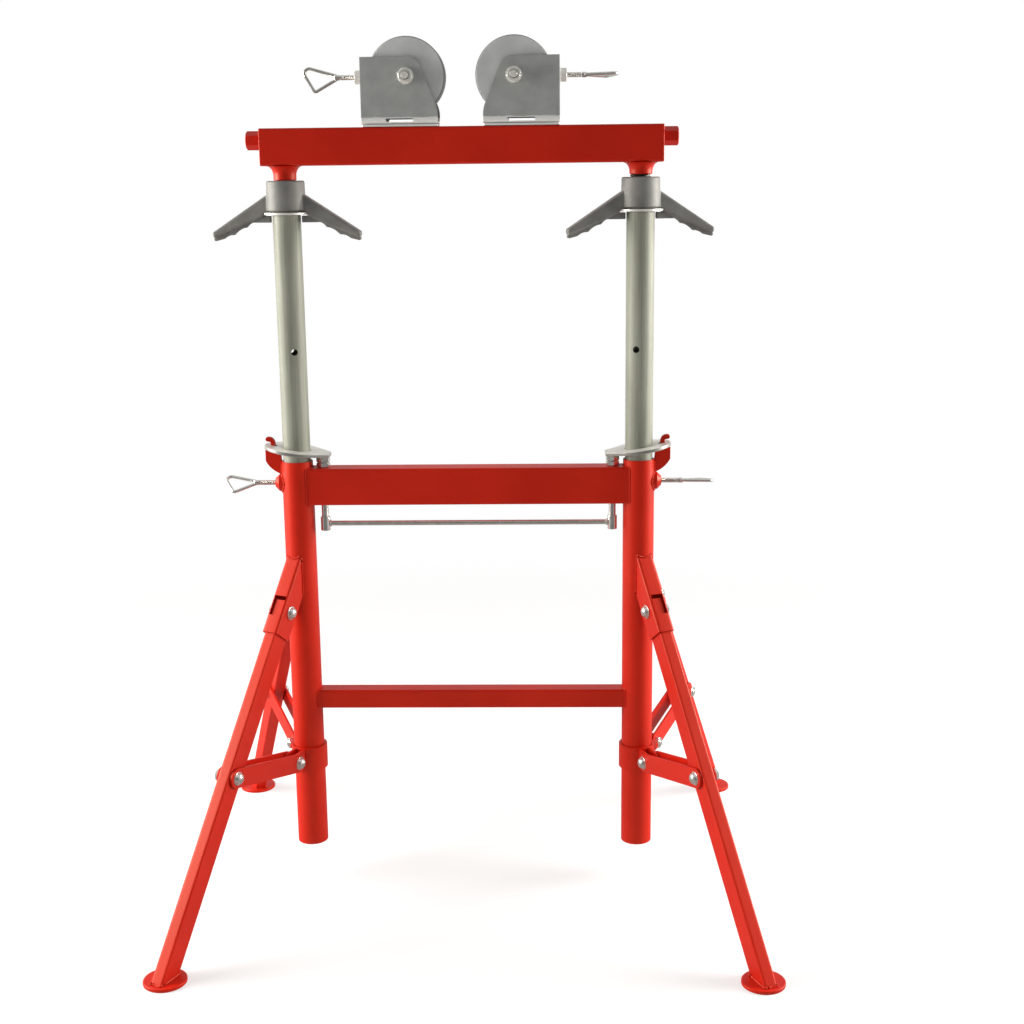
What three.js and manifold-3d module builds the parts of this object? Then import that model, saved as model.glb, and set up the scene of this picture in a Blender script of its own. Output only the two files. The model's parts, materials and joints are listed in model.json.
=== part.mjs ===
// Folding roller stand for carrying pipe.
// Two uprights with folding legs hold telescoping posts, and the posts carry a rail
// with a pair of rollers that a two-handed lead screw opens and closes.
// Millimetres, +Z up, the floor at zero, +X to the right and the front towards -Y.

import * as THREE from "three";
import { mergeVertices, toCreasedNormals } from "three/addons/utils/BufferGeometryUtils.js";
import Module from "manifold-3d";

const wasm = await Module();
wasm.setup();

// Clearances
const seatGap = 0.3;
const slideGap = 0.45;
const boltGap = 0.3;
const pivotGap = 0.5;

// Faces round a circle, from the largest rounds to bolt shanks and drilled holes
const rollerSides = 40;
const wideSides = 24;
const sides = 14;
const boltSides = 10;
const drillSides = 8;
const hexSides = 6;

// Uprights and posts
const uprightSpacing = 529;
const uprightBottom = 58;
const uprightLength = 632;
const uprightWall = 2.6;
const postDiameter = 42.2;
const postWall = 2.6;
const postExposed = 374;
const postInserted = 290;
const postHoleDiameter = 10;
const postHoleDrop = 204;
const postHoleTurn = THREE.MathUtils.degToRad(18);

// Rails welded between the uprights
const crossRailHeight = 57.5;
const crossRailDepth = 38;
const crossRailWall = 2.5;
const crossRailDrop = 10.5;
const lowerBarSize = 30;
const lowerBarWall = 2;
const lowerBarRise = 231;
const tubeCorner = 3;

// Clamp screws through bosses on the uprights
const clampDrop = 34.6;
const bossDiameter = 27;
const bossLength = 10.5;
const bossChamfer = 6.5;
const clampTipGap = 0.8;
const clampReach = 38;

// Screws with a bent wire loop as handle
const studDiameter = 8;
const wireDiameter = 5;
const loopShank = 8;
const loopLength = 60;
const loopRise = 17.5;
const loopFall = 20.5;
const loopFallReach = 30;
const loopWideCorner = 9;
const loopTightCorner = 4;
const loopSteps = 16;
const clampLoopTurn = { left: THREE.MathUtils.degToRad(-55), right: THREE.MathUtils.degToRad(82) };
const brakeLoopTurn = { left: 0, right: THREE.MathUtils.degToRad(86) };

// Tilting lock plates, their hooks and the release bar
const lockTilt = THREE.MathUtils.degToRad(8.8);
const lockThickness = 5;
const lockLift = 16.4;
const lockInnerEnd = 52.5;
const lockRoundDiameter = 91;
const lockRoundOffset = 4;
const lockNoseWidth = 34;
const lockNoseCorner = 6;
const hookThickness = 8;
const hookReach = 48.5;
const hookCurlReach = 44;
const fingerInner = 32.5;
const fingerWidth = 7;
const fingerSlotGap = 1.6;
const hookTop = 37.5;
const hookShoulder = 17.2;
const hookBottom = -21.5;
const hookCurl = 9;
const pushBoltInset = 40.5;
const pushBoltDiameter = 11;
const pushHeadHeight = 8;
const nutAcrossFlats = 19;
const releaseRodDiameter = 8;
const releaseDrop = 32;
const releaseSleeveDiameter = 15;
const releaseSleeveHeight = 22;

// Jack screws, thrust washers and wing handles on the posts
const jackScrewDiameter = 32;
const jackScrewLength = 186;
const neckDiameter = 34;
const neckHeight = 21;
const neckFlare = 10;
const washerOverhang = 12.4;
const washerThickness = 3.4;
const hubDiameter = 58.5;
const hubHeight = 46;
const hubTaper = 1.5;
const threadGap = 0.4;
const armReach = 114;
const armThickness = 19;
const armRoot = 25;
const armTipTop = -24;
const armTipBottom = -42;
const armSkirt = 11.5;
const armSkirtReach = 58;
const armEdgeRound = 2;
const scallopCount = 3;
const scallopDepth = 3.2;
const scallopEnd = 106;
const handleTurn = { left: THREE.MathUtils.degToRad(-4), right: THREE.MathUtils.degToRad(12) };

// Top rail, lead screw and roller carriages
const railOverhang = 32.5;
const railHeight = 54;
const railDepth = 50;
const railWall = 3;
const endPlate = 4;
const leadScrewDiameter = 20;
const leadScrewRise = 10;
const leadHexAcrossFlats = 24;
const leadHexLength = 22;
const carriageIn = 20;
const carriageOut = 140;
const axleReach = 78.5;
const axleHeight = 71.2;
const axleDiameter = 12;
const axleEnd = 5;
const axleWasherDiameter = 24;
const axleWasherThickness = 2;
const rollerDiameter = 112;
const rollerWidth = 42;
const rollerChamfer = 1.8;
const rollerSideGap = 2;
const bracketWall = 4;
const bracketBend = 8;
const bracketOuter = 66.5;
const bracketInner = 45.5;
const bracketTop = 27;
const bracketFlatTop = 6;
const bracketShoulder = 10;
const bracketSlopeFoot = -38;
const bracketWindowLength = 40;
const bracketWindowHeight = 5;
const brakeNutLength = 10.5;
const brakeNutAcrossFlats = 19;
const brakeTipGap = 1;
const brakeReach = 41;
const slidePlateThickness = 3;
const slidePlateInset = 4;
const travellerLength = 36;
const travellerNeck = 24;
const travellerNeckWidth = 15;
const travellerDepthBelowScrew = 17;

// Folding legs in the vertical plane that each leg swings in
const legPlanAngle = THREE.MathUtils.degToRad(65.3);
const legWidth = 20;
const legDepth = 34;
const legWall = 2;
const hingeReach = 55;
const hingeHeight = 460;
const footReach = 385;
const footDiameter = 63;
const footThickness = 5;
const footChamfer = 1.5;
const legAboveHinge = 14;
const bracketBelowHinge = 40.7;
const legBracketWall = 3;
const windowAbove = 19.5;
const windowBelow = 12.4;
const pivotDiameter = 10;
const domeDiameter = 21;
const domeHeight = 8.5;
const pivotNutAcrossFlats = 17;
const pivotNutHeight = 8;
const linkAlongLeg = 265;
const linkBarHeight = 30;
const linkBarThickness = 4;
const collarPivotReach = 49.5;
const collarPivotHeight = 210;
const collarWall = 4;
const collarAbovePivot = 15;
const collarBelowPivot = 24;
const earThickness = 4;
const earHeight = 28;

// Values that follow from the sizes above
const postRadius = postDiameter / 2;
const boreRadius = postRadius + slideGap;
const uprightRadius = boreRadius + uprightWall;
const copeRadius = uprightRadius + seatGap;
const halfSpacing = uprightSpacing / 2;
const uprightTop = uprightBottom + uprightLength;
const postTop = uprightTop + postExposed;
const crossRailTop = uprightTop - crossRailDrop;
const crossRailBottom = crossRailTop - crossRailHeight;
const hubBottom = postTop + washerThickness + 2 * seatGap;
const hubTop = hubBottom + hubHeight;
const railBottom = hubTop + neckHeight + seatGap;
const railTop = railBottom + railHeight;
const railLength = uprightSpacing + 2 * railOverhang;
const leadScrewHeight = railBottom + railHeight / 2 + leadScrewRise;
const axleZ = railTop + axleHeight;
const carriageOffset = (bracketOuter - bracketInner) / 2;
const bracketWidth = rollerWidth + 2 * rollerSideGap + 2 * bracketWall;
const slidePlateTop = railTop + seatGap + slidePlateThickness;
const bracketBottom = slidePlateTop + seatGap;
const studRadius = studDiameter / 2;

// Solids

function solidOf(geometry) {
  const bare = geometry.clone();
  bare.deleteAttribute("normal");
  bare.deleteAttribute("uv");
  const merged = mergeVertices(bare, 1e-4);
  const corners = merged.index.array;
  const kept = [];
  for (let i = 0; i < corners.length; i += 3) {
    const [a, b, c] = [corners[i], corners[i + 1], corners[i + 2]];
    if (a !== b && b !== c && c !== a) kept.push(a, b, c);
  }
  const vertProperties = new Float32Array(merged.attributes.position.array);
  const triVerts = new Uint32Array(kept);
  return new wasm.Manifold(new wasm.Mesh({ numProp: 3, vertProperties, triVerts }));
}

function geometryOf(solid) {
  const { vertProperties, triVerts } = solid.getMesh();
  const geometry = new THREE.BufferGeometry();
  geometry.setAttribute("position", new THREE.BufferAttribute(vertProperties, 3));
  geometry.setIndex(new THREE.BufferAttribute(triVerts, 1));
  return geometry;
}

function join(first, ...others) {
  return geometryOf(others.reduce((body, tool) => body.add(solidOf(tool)), solidOf(first)));
}

function cut(first, ...others) {
  return geometryOf(others.reduce((body, tool) => body.subtract(solidOf(tool)), solidOf(first)));
}

function common(first, other) {
  return geometryOf(solidOf(first).intersect(solidOf(other)));
}

function block(sizeX, sizeY, sizeZ, x = 0, y = 0, z = 0) {
  return new THREE.BoxGeometry(sizeX, sizeY, sizeZ).translate(x, y, z);
}

// A round or hexagonal bar along Z from one height to another
function bar(radius, low, high, faces = sides) {
  const length = high - low;
  const geometry = new THREE.CylinderGeometry(radius, radius, length, faces);
  return geometry.rotateX(Math.PI / 2).translate(0, 0, (low + high) / 2);
}

// A round cutter whose flats, not its corners, lie at the given radius
function hole(radius, low, high, faces = sides) {
  return bar(radius / Math.cos(Math.PI / faces), low, high, faces);
}

function hexBar(acrossFlats, low, high) {
  return bar(acrossFlats / 2 / Math.cos(Math.PI / hexSides), low, high, hexSides);
}

// A body turned about Z from a profile of radius and height pairs
function turned(profile, faces = sides) {
  const points = profile.map(([radius, height]) => new THREE.Vector2(radius, height));
  return new THREE.LatheGeometry(points, faces).rotateX(Math.PI / 2);
}

function ring(inner, outer, low, high, faces = sides) {
  return turned([[inner, low], [outer, low], [outer, high], [inner, high], [inner, low]], faces);
}

function alongX(geometry) {
  return geometry.rotateY(Math.PI / 2);
}

function alongY(geometry) {
  return geometry.rotateX(-Math.PI / 2);
}

// A flat outline given thickness about its own plane
function slab(shape, thickness, curveSegments = 8) {
  const settings = { depth: thickness, bevelEnabled: false, curveSegments };
  return new THREE.ExtrudeGeometry(shape, settings).translate(0, 0, -thickness / 2);
}

// A flat outline drawn in X and Z, with its thickness along Y
function standingSlab(shape, thickness, curveSegments = 8) {
  return slab(shape, thickness, curveSegments).rotateX(Math.PI / 2);
}

function roundedRectangle(width, height, corner) {
  const x = width / 2 - corner;
  const y = height / 2 - corner;
  const path = new THREE.Shape();
  path.absarc(x, y, corner, 0, Math.PI / 2);
  path.absarc(-x, y, corner, Math.PI / 2, Math.PI);
  path.absarc(-x, -y, corner, Math.PI, 1.5 * Math.PI);
  path.absarc(x, -y, corner, 1.5 * Math.PI, 2 * Math.PI);
  path.closePath();
  return path;
}

// A rectangular tube along Z, with the width along X and the height along Y
function boxTube(width, height, wall, length, corner = tubeCorner) {
  const outside = slab(roundedRectangle(width, height, corner), length, 1);
  return cut(outside, block(width - 2 * wall, height - 2 * wall, length + 2));
}

// A domed bolt head whose flat underside lies at the given height
function dome(low, diameter = domeDiameter, height = domeHeight) {
  const rim = height / 3;
  const half = diameter / 2;
  const profile = [[0, low], [half, low], [half, low + rim]];
  profile.push([half * Math.SQRT1_2, low + rim + (height - rim) * Math.SQRT1_2]);
  return turned([...profile, [0, low + height]], boltSides);
}

// A path through corner points with a round of its own radius at each inner corner
function roundedPath(corners, rounds) {
  const path = new THREE.CurvePath();
  let from = corners[0];
  for (let i = 1; i < corners.length - 1; i += 1) {
    const back = corners[i - 1].clone().sub(corners[i]).setLength(rounds[i - 1]).add(corners[i]);
    const ahead = corners[i + 1].clone().sub(corners[i]).setLength(rounds[i - 1]).add(corners[i]);
    path.add(new THREE.LineCurve3(from, back));
    path.add(new THREE.QuadraticBezierCurve3(back, corners[i], ahead));
    from = ahead;
  }
  path.add(new THREE.LineCurve3(from, corners[corners.length - 1]));
  return path;
}

// Finishes

function finish(color, roughness, metalness) {
  return new THREE.MeshStandardMaterial({ color, roughness, metalness });
}

const redPaint = finish(0xb3160f, 0.4, 0.0);
const zincTube = finish(0xa3a593, 0.45, 0.8);
const brightZinc = finish(0xc9c6bd, 0.3, 0.9);
const rollerSteel = finish(0x7d8082, 0.5, 0.8);
const castGrey = finish(0x84857f, 0.6, 0.4);
const darkSteel = finish(0x3b3b3b, 0.45, 0.8);

function piece(group, name, geometry, material) {
  const plain = geometry.clone();
  plain.deleteAttribute("normal");
  plain.deleteAttribute("uv");
  const mesh = new THREE.Mesh(toCreasedNormals(plain, Math.PI / 6), material);
  mesh.name = name;
  group.add(mesh);
  return mesh;
}

// Uprights, each with the boss of its clamp screw on the outer side

function upright() {
  const clampHeight = uprightTop - clampDrop;
  const bossEnd = uprightRadius + bossLength;
  const bossRadius = bossDiameter / 2;
  const boss = turned([
    [0, boreRadius],
    [bossRadius, boreRadius],
    [bossRadius, bossEnd - bossChamfer],
    [bossRadius - bossChamfer, bossEnd],
    [0, bossEnd],
  ]);
  const tube = bar(uprightRadius, uprightBottom, uprightTop, wideSides);
  const body = join(tube, alongX(boss).translate(0, 0, clampHeight));
  const bore = hole(boreRadius, uprightBottom - 1, uprightTop + 1, wideSides);
  const screwHole = alongX(hole(studRadius + boltGap, 0, bossEnd + 1, drillSides));
  return cut(body, bore, screwHole.translate(0, 0, clampHeight));
}

// A rail of box tube along X whose ends are shaped to the round uprights
function copedRail(height, depth, wall, bottom) {
  const tube = alongX(boxTube(height, depth, wall, uprightSpacing)).translate(0, 0, bottom + height / 2);
  const cope = hole(copeRadius, bottom - 1, bottom + height + 1, wideSides);
  return cut(tube, cope.clone().translate(-halfSpacing, 0, 0), cope.translate(halfSpacing, 0, 0));
}

function crossRail() {
  const rail = copedRail(crossRailHeight, crossRailDepth, crossRailWall, crossRailBottom);
  const radius = pushBoltDiameter / 2 + boltGap;
  const drill = hole(radius, crossRailBottom - 1, crossRailTop + 1, drillSides);
  const reach = halfSpacing - pushBoltInset;
  return cut(rail, drill.clone().translate(-reach, 0, 0), drill.translate(reach, 0, 0));
}

function lowerBar() {
  return copedRail(lowerBarSize, lowerBarSize, lowerBarWall, uprightBottom + lowerBarRise);
}

// Hook on the outer side of an upright: its finger passes up through the lock plate
// and curls outward over the plate's end.

function lockHook() {
  const fingerOuter = fingerInner + fingerWidth;
  const shoulderInner = fingerInner - fingerWidth;
  const outline = new THREE.Shape();
  outline.moveTo(uprightRadius, hookBottom);
  outline.quadraticCurveTo(hookReach - fingerWidth, hookBottom + fingerWidth, hookReach, 0);
  outline.lineTo(hookReach, hookShoulder);
  outline.lineTo(fingerOuter, hookShoulder);
  outline.lineTo(fingerOuter, hookTop - hookCurl);
  outline.quadraticCurveTo(fingerOuter + 1, hookTop - fingerWidth, hookCurlReach, hookTop - fingerWidth);
  outline.absarc(hookCurlReach, hookTop - fingerWidth / 2, fingerWidth / 2, -Math.PI / 2, Math.PI / 2);
  outline.quadraticCurveTo(fingerInner, hookTop, fingerInner, hookTop - 1.6 * hookCurl);
  outline.lineTo(fingerInner, hookShoulder);
  outline.lineTo(shoulderInner, hookShoulder);
  outline.lineTo(uprightRadius, -fingerWidth / 2);
  outline.closePath();
  const cope = hole(copeRadius, hookBottom - 1, hookTop, wideSides);
  return cut(standingSlab(outline, hookThickness, 5), cope).translate(0, 0, uprightTop);
}

// Plate that grips the post while it is tilted and lets it slide when it is level.
// Its outline is a disc drawn out to a nose over the push bolt.

function lockPlate() {
  const round = lockRoundDiameter / 2;
  const corner = lockNoseCorner;
  const noseX = corner - lockInnerEnd;
  const noseY = lockNoseWidth / 2 - corner;
  const taper = Math.acos((round - corner) / Math.hypot(lockRoundOffset - noseX, noseY));
  const tangent = Math.atan2(noseY, noseX - lockRoundOffset) - taper;
  const outline = new THREE.Shape();
  outline.absarc(lockRoundOffset, 0, round, -tangent, tangent);
  outline.absarc(noseX, noseY, corner, tangent, Math.PI);
  outline.absarc(noseX, -noseY, corner, Math.PI, 2 * Math.PI - tangent);
  outline.closePath();
  const gripRadius = (postRadius + (lockThickness / 2) * Math.sin(lockTilt)) / Math.cos(lockTilt);
  const grip = hole(gripRadius + boltGap, -lockThickness, lockThickness, wideSides);
  const slotLength = fingerWidth + 2 * fingerSlotGap;
  const slotCentre = fingerInner + fingerWidth / 2;
  const slot = block(slotLength, hookThickness + 2 * pivotGap, 3 * lockThickness, slotCentre);
  return cut(slab(outline, lockThickness, 8), grip, slot);
}

// Bolts that lift the plates' inner ends, and the bar that joins them below the rail

function lockUndersideAtInnerEnd() {
  const middle = uprightTop + lockLift - lockInnerEnd * Math.sin(lockTilt);
  return middle - (lockThickness / 2) * Math.cos(lockTilt);
}

function pushBolt() {
  const headTop = lockUndersideAtInnerEnd() - seatGap;
  const headLow = headTop - pushHeadHeight;
  const shankRadius = pushBoltDiameter / 2;
  const low = crossRailBottom - releaseDrop - releaseSleeveHeight / 2;
  const shank = bar(shankRadius, low, headLow + 1, boltSides);
  const nut = hexBar(nutAcrossFlats, crossRailTop + seatGap, headLow - seatGap);
  const head = hexBar(nutAcrossFlats, headLow, headTop);
  return join(shank, nut, head);
}

function releaseBar() {
  const height = crossRailBottom - releaseDrop;
  const reach = halfSpacing - pushBoltInset;
  const low = height - releaseSleeveHeight / 2;
  const high = height + releaseSleeveHeight / 2;
  const rod = alongX(bar(releaseRodDiameter / 2, -reach, reach, boltSides)).translate(0, 0, height);
  const sleeve = bar(releaseSleeveDiameter / 2, low, high, boltSides);
  const drill = hole(pushBoltDiameter / 2 + boltGap, low - 1, high + 1, drillSides);
  const joined = join(rod, sleeve.clone().translate(-reach, 0, 0), sleeve.translate(reach, 0, 0));
  return cut(joined, drill.clone().translate(-reach, 0, 0), drill.translate(reach, 0, 0));
}

// A screw along X whose tip lies at the given place, and its bent wire handle

function stud(tip, end) {
  const nose = studRadius / 3;
  return alongX(turned([
    [0, tip],
    [studRadius - nose, tip],
    [studRadius, tip + nose],
    [studRadius, end],
    [0, end],
  ], boltSides));
}

function wireLoop(start) {
  const wire = wireDiameter / 2;
  const from = start + loopShank - wire;
  const shank = alongX(bar(studRadius, start, start + loopShank, boltSides));
  const corners = [
    new THREE.Vector3(from, 0, wire),
    new THREE.Vector3(start + loopLength, 0, loopRise),
    new THREE.Vector3(start + loopFallReach + loopShank, 0, -loopFall),
    new THREE.Vector3(from, 0, -wire),
  ];
  const extrudePath = roundedPath(corners, [loopWideCorner, loopTightCorner]);
  const section = new THREE.Shape().absarc(0, 0, wire, 0, 2 * Math.PI);
  const wireSettings = { steps: loopSteps, extrudePath, curveSegments: 3, bevelEnabled: false };
  return join(shank, new THREE.ExtrudeGeometry(section, wireSettings));
}

// Telescoping post with its cross hole, and the washer that the handle turns on

function post() {
  const low = uprightTop - postInserted;
  const tube = ring(postRadius - postWall, postRadius, low, postTop, wideSides);
  const drill = alongY(hole(postHoleDiameter / 2, -postDiameter, postDiameter, boltSides));
  return cut(tube, drill.translate(0, 0, postTop - postHoleDrop));
}

function thrustWasher() {
  const low = postTop + seatGap;
  const inner = jackScrewDiameter / 2 + threadGap;
  return ring(inner, postRadius + washerOverhang, low, low + washerThickness, wideSides);
}

// Cast wing handle: a threaded hub with two arms that droop past the post's top
// and have finger scallops underneath.

function handleArm() {
  const skirt = postTop - hubBottom - armSkirt;
  const tip = (armTipTop - armTipBottom) / 2;
  const outline = new THREE.Shape();
  outline.moveTo(0, armRoot);
  outline.lineTo(hubDiameter / 2, armRoot);
  outline.lineTo(armReach - tip, armTipTop);
  outline.absarc(armReach - tip, armTipTop - tip, tip, Math.PI / 2, -Math.PI / 4, true);
  const pitch = (scallopEnd - armSkirtReach) / scallopCount;
  const drop = armTipBottom + tip / 2 - skirt;
  for (let i = 0; i < scallopCount; i += 1) {
    const outer = scallopEnd - i * pitch;
    const height = skirt + (drop * (outer - armSkirtReach)) / (scallopEnd - armSkirtReach);
    const next = height - drop / scallopCount;
    outline.lineTo(outer, height);
    outline.quadraticCurveTo(outer - pitch / 2, (height + next) / 2 + 2 * scallopDepth, outer - pitch, next);
  }
  outline.lineTo(0, skirt);
  outline.closePath();
  const settings = {
    depth: armThickness - 2 * armEdgeRound,
    bevelThickness: armEdgeRound,
    bevelSize: armEdgeRound,
    bevelOffset: -armEdgeRound,
    bevelSegments: 1,
    curveSegments: 3,
  };
  const arm = new THREE.ExtrudeGeometry(outline, settings);
  return arm.translate(0, 0, armEdgeRound - armThickness / 2).rotateX(Math.PI / 2);
}

function wingHandle() {
  const hubRadius = hubDiameter / 2;
  const washerRadius = postRadius + washerOverhang + pivotGap;
  const postClearance = postRadius + 4 * pivotGap;
  const hub = turned([
    [0, 0],
    [hubRadius, 0],
    [hubRadius, hubHeight - hubTaper],
    [hubRadius - hubTaper, hubHeight],
    [0, hubHeight],
  ], wideSides);
  const body = join(hub, handleArm(), handleArm().rotateZ(Math.PI));
  const washerRoom = hole(washerRadius, postTop - hubBottom - 2 * pivotGap, 0, wideSides);
  const postRoom = hole(postClearance, -armReach, 0, wideSides);
  const thread = hole(jackScrewDiameter / 2 + threadGap, -1, hubHeight + 1);
  return cut(body, washerRoom, postRoom, thread).translate(0, 0, hubBottom);
}

// Jack screw with the flared neck that is welded under the top rail

function jackScrew() {
  const radius = jackScrewDiameter / 2;
  const neck = neckDiameter / 2;
  const high = railBottom - seatGap;
  const low = high - jackScrewLength;
  const neckLow = hubTop + seatGap;
  const profile = [[0, low], [radius - 2, low], [radius, low + 2], [radius, neckLow], [neck, neckLow]];
  const flareSteps = 3;
  for (let i = 0; i <= flareSteps; i += 1) {
    const angle = (i / flareSteps) * (Math.PI / 2);
    profile.push([neck + neckFlare * (1 - Math.cos(angle)), high - neckFlare * (1.5 - Math.sin(angle))]);
  }
  profile.push([neck + neckFlare, high], [0, high]);
  return turned(profile);
}

// Top rail: a closed tube with a slot over each carriage and a plate at each end

function topRail() {
  const middle = railBottom + railHeight / 2;
  const tube = alongX(boxTube(railHeight, railDepth, railWall, railLength)).translate(0, 0, middle);
  const plate = alongX(slab(roundedRectangle(railHeight, railDepth, tubeCorner), endPlate, 3));
  const plateX = (railLength - endPlate) / 2;
  const body = join(
    tube,
    plate.clone().translate(-plateX, 0, middle),
    plate.translate(plateX, 0, middle),
  );
  const neckEnd = travellerNeck / 2 + pivotGap;
  const slotStart = axleReach + carriageOffset - carriageIn - neckEnd;
  const slotEnd = axleReach + carriageOffset + carriageOut + neckEnd;
  const slotWidth = travellerNeckWidth + 2 * pivotGap;
  const slotX = (slotStart + slotEnd) / 2;
  const slot = block(slotEnd - slotStart, slotWidth, 4 * railWall, 0, 0, railTop);
  const drill = alongX(hole(leadScrewDiameter / 2 + threadGap, -railLength, railLength));
  return cut(
    body,
    slot.clone().translate(-slotX, 0, 0),
    slot.translate(slotX, 0, 0),
    drill.translate(0, 0, leadScrewHeight),
  );
}

function leadScrew() {
  const seat = railLength / 2 + seatGap;
  const end = seat + leadHexLength;
  const screw = bar(leadScrewDiameter / 2, -seat - 1, seat + 1);
  const head = hexBar(leadHexAcrossFlats, seat, end);
  const tail = hexBar(leadHexAcrossFlats, -end, -seat);
  return alongX(join(screw, head, tail)).translate(0, 0, leadScrewHeight);
}

// Carriage pieces, drawn about the axle with the outer side towards +X

function rollerBracket() {
  const low = bracketBottom - axleZ;
  const height = bracketTop - low;
  const half = bracketWidth / 2;
  const side = new THREE.Shape();
  side.moveTo(-bracketInner, low);
  side.lineTo(bracketOuter, low);
  side.lineTo(bracketOuter, bracketTop);
  side.lineTo(-bracketFlatTop, bracketTop);
  side.quadraticCurveTo(-bracketFlatTop - bracketShoulder, bracketTop,
    -bracketFlatTop - 1.4 * bracketShoulder, bracketTop - bracketShoulder);
  side.lineTo(-bracketInner, bracketSlopeFoot);
  side.closePath();

  // The folded section: a base with two upright cheeks and round bends
  const fold = new THREE.Shape();
  const inner = half - bracketWall;
  const innerBend = bracketBend - bracketWall;
  fold.moveTo(half, bracketTop + 1);
  fold.lineTo(inner, bracketTop + 1);
  fold.absarc(inner - innerBend, low + bracketBend, innerBend, 0, -Math.PI / 2, true);
  fold.absarc(innerBend - inner, low + bracketBend, innerBend, -Math.PI / 2, -Math.PI, true);
  fold.lineTo(-inner, bracketTop + 1);
  fold.lineTo(-half, bracketTop + 1);
  fold.absarc(bracketBend - half, low + bracketBend, bracketBend, Math.PI, 1.5 * Math.PI);
  fold.absarc(half - bracketBend, low + bracketBend, bracketBend, 1.5 * Math.PI, 2 * Math.PI);
  fold.closePath();

  const length = bracketOuter + bracketInner + 2;
  const folded = slab(fold, length, 2).rotateX(Math.PI / 2).rotateZ(Math.PI / 2);
  const cheeks = common(folded.translate(carriageOffset, 0, 0), standingSlab(side, bracketWidth + 2, 5));
  const webHeight = height - bracketBend;
  const web = block(bracketWall, 2 * inner + 1, webHeight,
    bracketOuter - bracketWall / 2, 0, bracketTop - webHeight / 2);
  const nut = alongX(hexBar(brakeNutAcrossFlats, bracketOuter - 1, bracketOuter + brakeNutLength));
  const window = block(bracketWindowLength, bracketWidth + 2, bracketWindowHeight,
    carriageOffset, 0, low + bracketBend - bracketWindowHeight / 2);
  const axleHole = alongY(hole(axleDiameter / 2 + boltGap, -half - 1, half + 1, drillSides));
  const screwHole = alongX(hole(studRadius + boltGap, 0, bracketOuter + brakeNutLength + 1, drillSides));
  return cut(join(cheeks, web, nut), window, axleHole, screwHole);
}

function axleBolt(front) {
  const face = bracketWidth / 2 + seatGap;
  const nutLow = face + axleWasherThickness;
  const nutHigh = nutLow + axleDiameter * 0.8;
  const headHigh = nutLow + axleDiameter * 0.65;
  const shank = bar(axleDiameter / 2, -headHigh + 1, nutHigh + axleEnd, boltSides);
  const washer = bar(axleWasherDiameter / 2, face, nutLow + seatGap);
  const backWasher = bar(axleWasherDiameter / 2, -nutLow - seatGap, -face);
  const nut = hexBar(nutAcrossFlats, nutLow, nutHigh);
  const head = hexBar(nutAcrossFlats, -headHigh, -nutLow);
  const bolt = alongY(join(shank, washer, backWasher, nut, head));
  return front > 0 ? bolt : bolt.rotateZ(Math.PI);
}

function roller() {
  const bore = axleDiameter / 2 + boltGap;
  const radius = rollerDiameter / 2;
  const half = rollerWidth / 2;
  const shoulder = half - rollerChamfer;
  return alongY(turned([
    [bore, -half],
    [radius - rollerChamfer, -half],
    [radius, -shoulder],
    [radius, shoulder],
    [radius - rollerChamfer, half],
    [bore, half],
    [bore, -half],
  ], rollerSides));
}

// Nut that rides the lead screw inside the rail and carries the bracket's slide plate
function traveller() {
  const screw = leadScrewHeight - axleZ;
  const ceiling = railTop - railWall - pivotGap - axleZ;
  const low = screw - travellerDepthBelowScrew;
  const plateLow = railTop + seatGap - axleZ;
  const plateHigh = slidePlateTop - axleZ;
  const blockWidth = railDepth - 2 * railWall - 2 * pivotGap;
  const nut = block(travellerLength, blockWidth, ceiling - low, 0, 0, (ceiling + low) / 2);
  const neck = block(travellerNeck, travellerNeckWidth, plateHigh - screw, 0, 0, (plateHigh + screw) / 2);
  const plate = block(bracketOuter + bracketInner - 2 * slidePlateInset,
    bracketWidth - 2 * slidePlateInset, slidePlateThickness, 0, 0, (plateLow + plateHigh) / 2);
  const thread = alongX(hole(leadScrewDiameter / 2 + threadGap, -travellerLength, travellerLength));
  return cut(join(nut, neck, plate), thread.translate(0, 0, screw)).translate(carriageOffset, 0, 0);
}

// Folding leg pieces. In the plane of a leg, X points away from the upright.

const legTilt = Math.atan2(footReach - hingeReach, hingeHeight - footThickness);
const legLength = Math.hypot(footReach - hingeReach, hingeHeight - footThickness);
const legFrame = new THREE.Matrix4()
  .makeTranslation(hingeReach, 0, hingeHeight)
  .multiply(new THREE.Matrix4().makeRotationY(-legTilt));
const intoLegFrame = legFrame.clone().invert();
const cheekInside = legWidth / 2 + pivotGap;
const cheekOutside = cheekInside + legBracketWall;
const barOutside = cheekInside + linkBarThickness;
const linkReach = hingeReach + linkAlongLeg * Math.sin(legTilt);
const linkHeight = hingeHeight - linkAlongLeg * Math.cos(legTilt);
const linkLength = Math.hypot(linkReach - collarPivotReach, linkHeight - collarPivotHeight);
const linkSlope = Math.atan2(linkHeight - collarPivotHeight, collarPivotReach - linkReach);

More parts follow.
